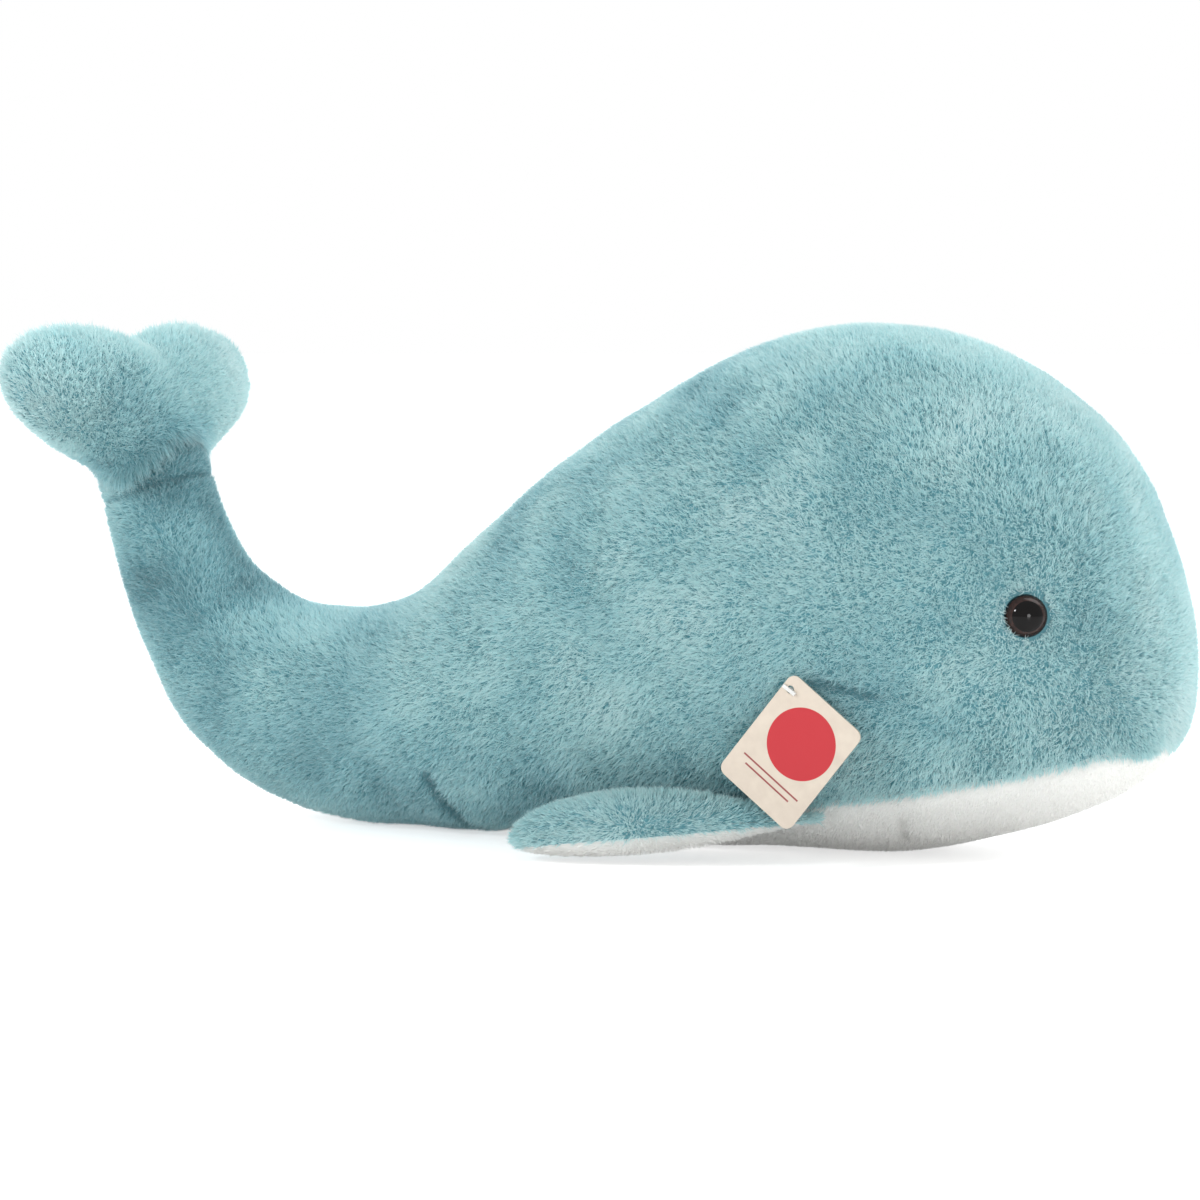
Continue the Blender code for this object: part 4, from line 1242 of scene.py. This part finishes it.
def printed_card():
    """Cream card with a red disc and thin rules, placed by the card's own corner and angle."""
    made = Finish("printed_card", Roughness=0.42, Coat_Weight=0.15, Coat_Roughness=0.2)
    pivot = surface_frame(SADDLE + PIN_STATION_SHARE, -PIN_TURN_SHARE * math.pi).translation
    pivot = pivot + Vector((0, -TAG_STANDOFF, 0))
    hang = math.atan2(TAG_WIDTH / 2 - TAG_HOLE_FROM_SIDE, TAG_LENGTH / 2 - TAG_HOLE_FROM_END)
    card = Matrix.Translation(pivot) @ Matrix.Rotation(hang, 4, "Y")
    card = card @ Matrix.Translation((-TAG_HOLE_FROM_SIDE, 0, TAG_HOLE_FROM_END))
    inverse = card.inverted()
    sockets = {"Vector": made.place(), "Location": inverse.translation, "Rotation": inverse.to_euler()}
    moved = made.root.node("ShaderNodeMapping", sockets=sockets)
    over, up = made.split(made.root.out(moved), "X", "Z")
    over = over / TAG_WIDTH
    up = up / TAG_LENGTH + 1
    wide = (over - DISC_CENTRE_SHARES[0]) * TAG_WIDTH
    tall = (up - DISC_CENTRE_SHARES[1]) * TAG_LENGTH
    away = made.root.maths("SQRT", wide * wide + tall * tall)
    paper = made.speckle(220.0, (0.67, 0.58, 0.485), (0.74, 0.65, 0.545))
    face = made.mix(1 - away.above(DISC_RADIUS, PRINT_SOFTNESS), paper, (0.53, 0.011, 0.021))
    for height, reach in RULES:
        beyond = made.root.maths("ABSOLUTE", (up - height) * TAG_LENGTH)
        line = 1 - beyond.above(RULE_HALF_WIDTH, RULE_SOFTNESS)
        inside = 1 - made.root.maths("ABSOLUTE", wide + RULE_SHIFT).above(reach, PRINT_SOFTNESS)
        face = made.mix(line * inside, face, (0.30, 0.05, 0.05))
    made.feed("Base Color", face)
    made.bump(1200.0, distance=0.00002, strength=0.3)
    return made.material


def dress_small_parts():
    """Eyes, washers, tag and its fastener."""
    pupil, iris = eye_pupil(), eye_iris()
    for side_name, seat in zip(("left", "right"), EYES):
        eye(side_name, seat, pupil, iris)
    washer, nylon, card = washer_plastic(), milky_nylon(), printed_card()
    for name, made in (
        ("eye_washer_left", washer),
        ("eye_washer_right", washer),
        ("tag_pin", nylon),
        ("hang_tag", card),
    ):
        item = frame["nodes"][name]
        item.data.materials.clear()
        item.data.materials.append(made)


# Stage


def seen_rays(root):
    """1 or more for the rays that find the stage white: from the camera, off gloss and through glass."""
    rays = root.node("ShaderNodeLightPath")
    seen = root.out(rays, "Is Camera Ray") + root.out(rays, "Is Glossy Ray")
    return seen + root.out(rays, "Is Transmission Ray")


def floor():
    """A wide pale floor that stays white to the camera away from the shadow."""
    bm = bmesh.new()
    bmesh.ops.create_circle(bm, cap_ends=True, segments=FLOOR_SIDES, radius=FLOOR_RADIUS)
    mesh = bpy.data.meshes.new("floor")
    bm.to_mesh(mesh)
    bm.free()
    made = Finish("floor", Roughness=0.30, Specular_IOR_Level=0.04)
    made.feed("Base Color", (0.94, 0.94, 0.94))
    made.feed("Emission Color", (1, 1, 1))
    made.feed("Emission Strength", seen_rays(made.root) * FLOOR_GLOW)
    link("floor", mesh, made.material)


def world():
    """Even light all round, white to the camera."""
    made = bpy.data.worlds.new("studio")
    bpy.context.scene.world = made
    made.use_nodes = True
    tree = made.node_tree
    back = tree.nodes["Background"]
    root = Shade(tree, None)
    put(tree, back.inputs, "Color", (1, 1, 1))
    seen = root.maths("MINIMUM", seen_rays(root), 1.0)
    put(tree, back.inputs, "Strength", seen * (1 - DAYLIGHT) + DAYLIGHT)


def lamp(name, place, target, size, power):
    """A round soft lamp that faces a point."""
    data = bpy.data.lights.new(name, "AREA")
    data.shape = "DISK"
    data.size = size
    data.energy = power
    item = bpy.data.objects.new(name, data)
    item.location = place
    item.rotation_euler = (Vector(target) - Vector(place)).to_track_quat("-Z", "Y").to_euler()
    bpy.context.scene.collection.objects.link(item)


def camera():
    """The photograph's view."""
    data = bpy.data.cameras.new("camera")
    data.lens = CAMERA_LENS
    data.sensor_width = CAMERA_SENSOR
    item = bpy.data.objects.new("camera", data)
    level = math.cos(CAMERA_LIFT)
    back = Vector((math.sin(CAMERA_TURN) * level, -math.cos(CAMERA_TURN) * level, math.sin(CAMERA_LIFT)))
    item.location = Vector(CAMERA_TARGET) + CAMERA_DISTANCE * back
    item.rotation_euler = (-back).to_track_quat("-Z", "Y").to_euler()
    bpy.context.scene.collection.objects.link(item)
    bpy.context.scene.camera = item


def main():
    """Dress the whale and light it."""
    camera()
    blue, white = teal_pile(), white_pile()
    cloths = (
        cloth_finish("teal_cloth", (0.16, 0.38, 0.44), (0.22, 0.46, 0.52)),
        cloth_finish("white_cloth", (0.93, 0.93, 0.91), (0.96, 0.96, 0.94)),
    )
    dress_trunk(blue, white, *cloths)
    dress_flukes(blue, cloths[0])
    dress_flipper("left", 1, blue, white, cloths, seed=8)
    dress_flipper("right", -1, blue, white, cloths, seed=10)
    dress_small_parts()
    floor()
    world()
    for name, settings in LAMPS.items():
        lamp(name, *settings)
    bpy.context.scene.view_settings.view_transform = "Standard"


main()
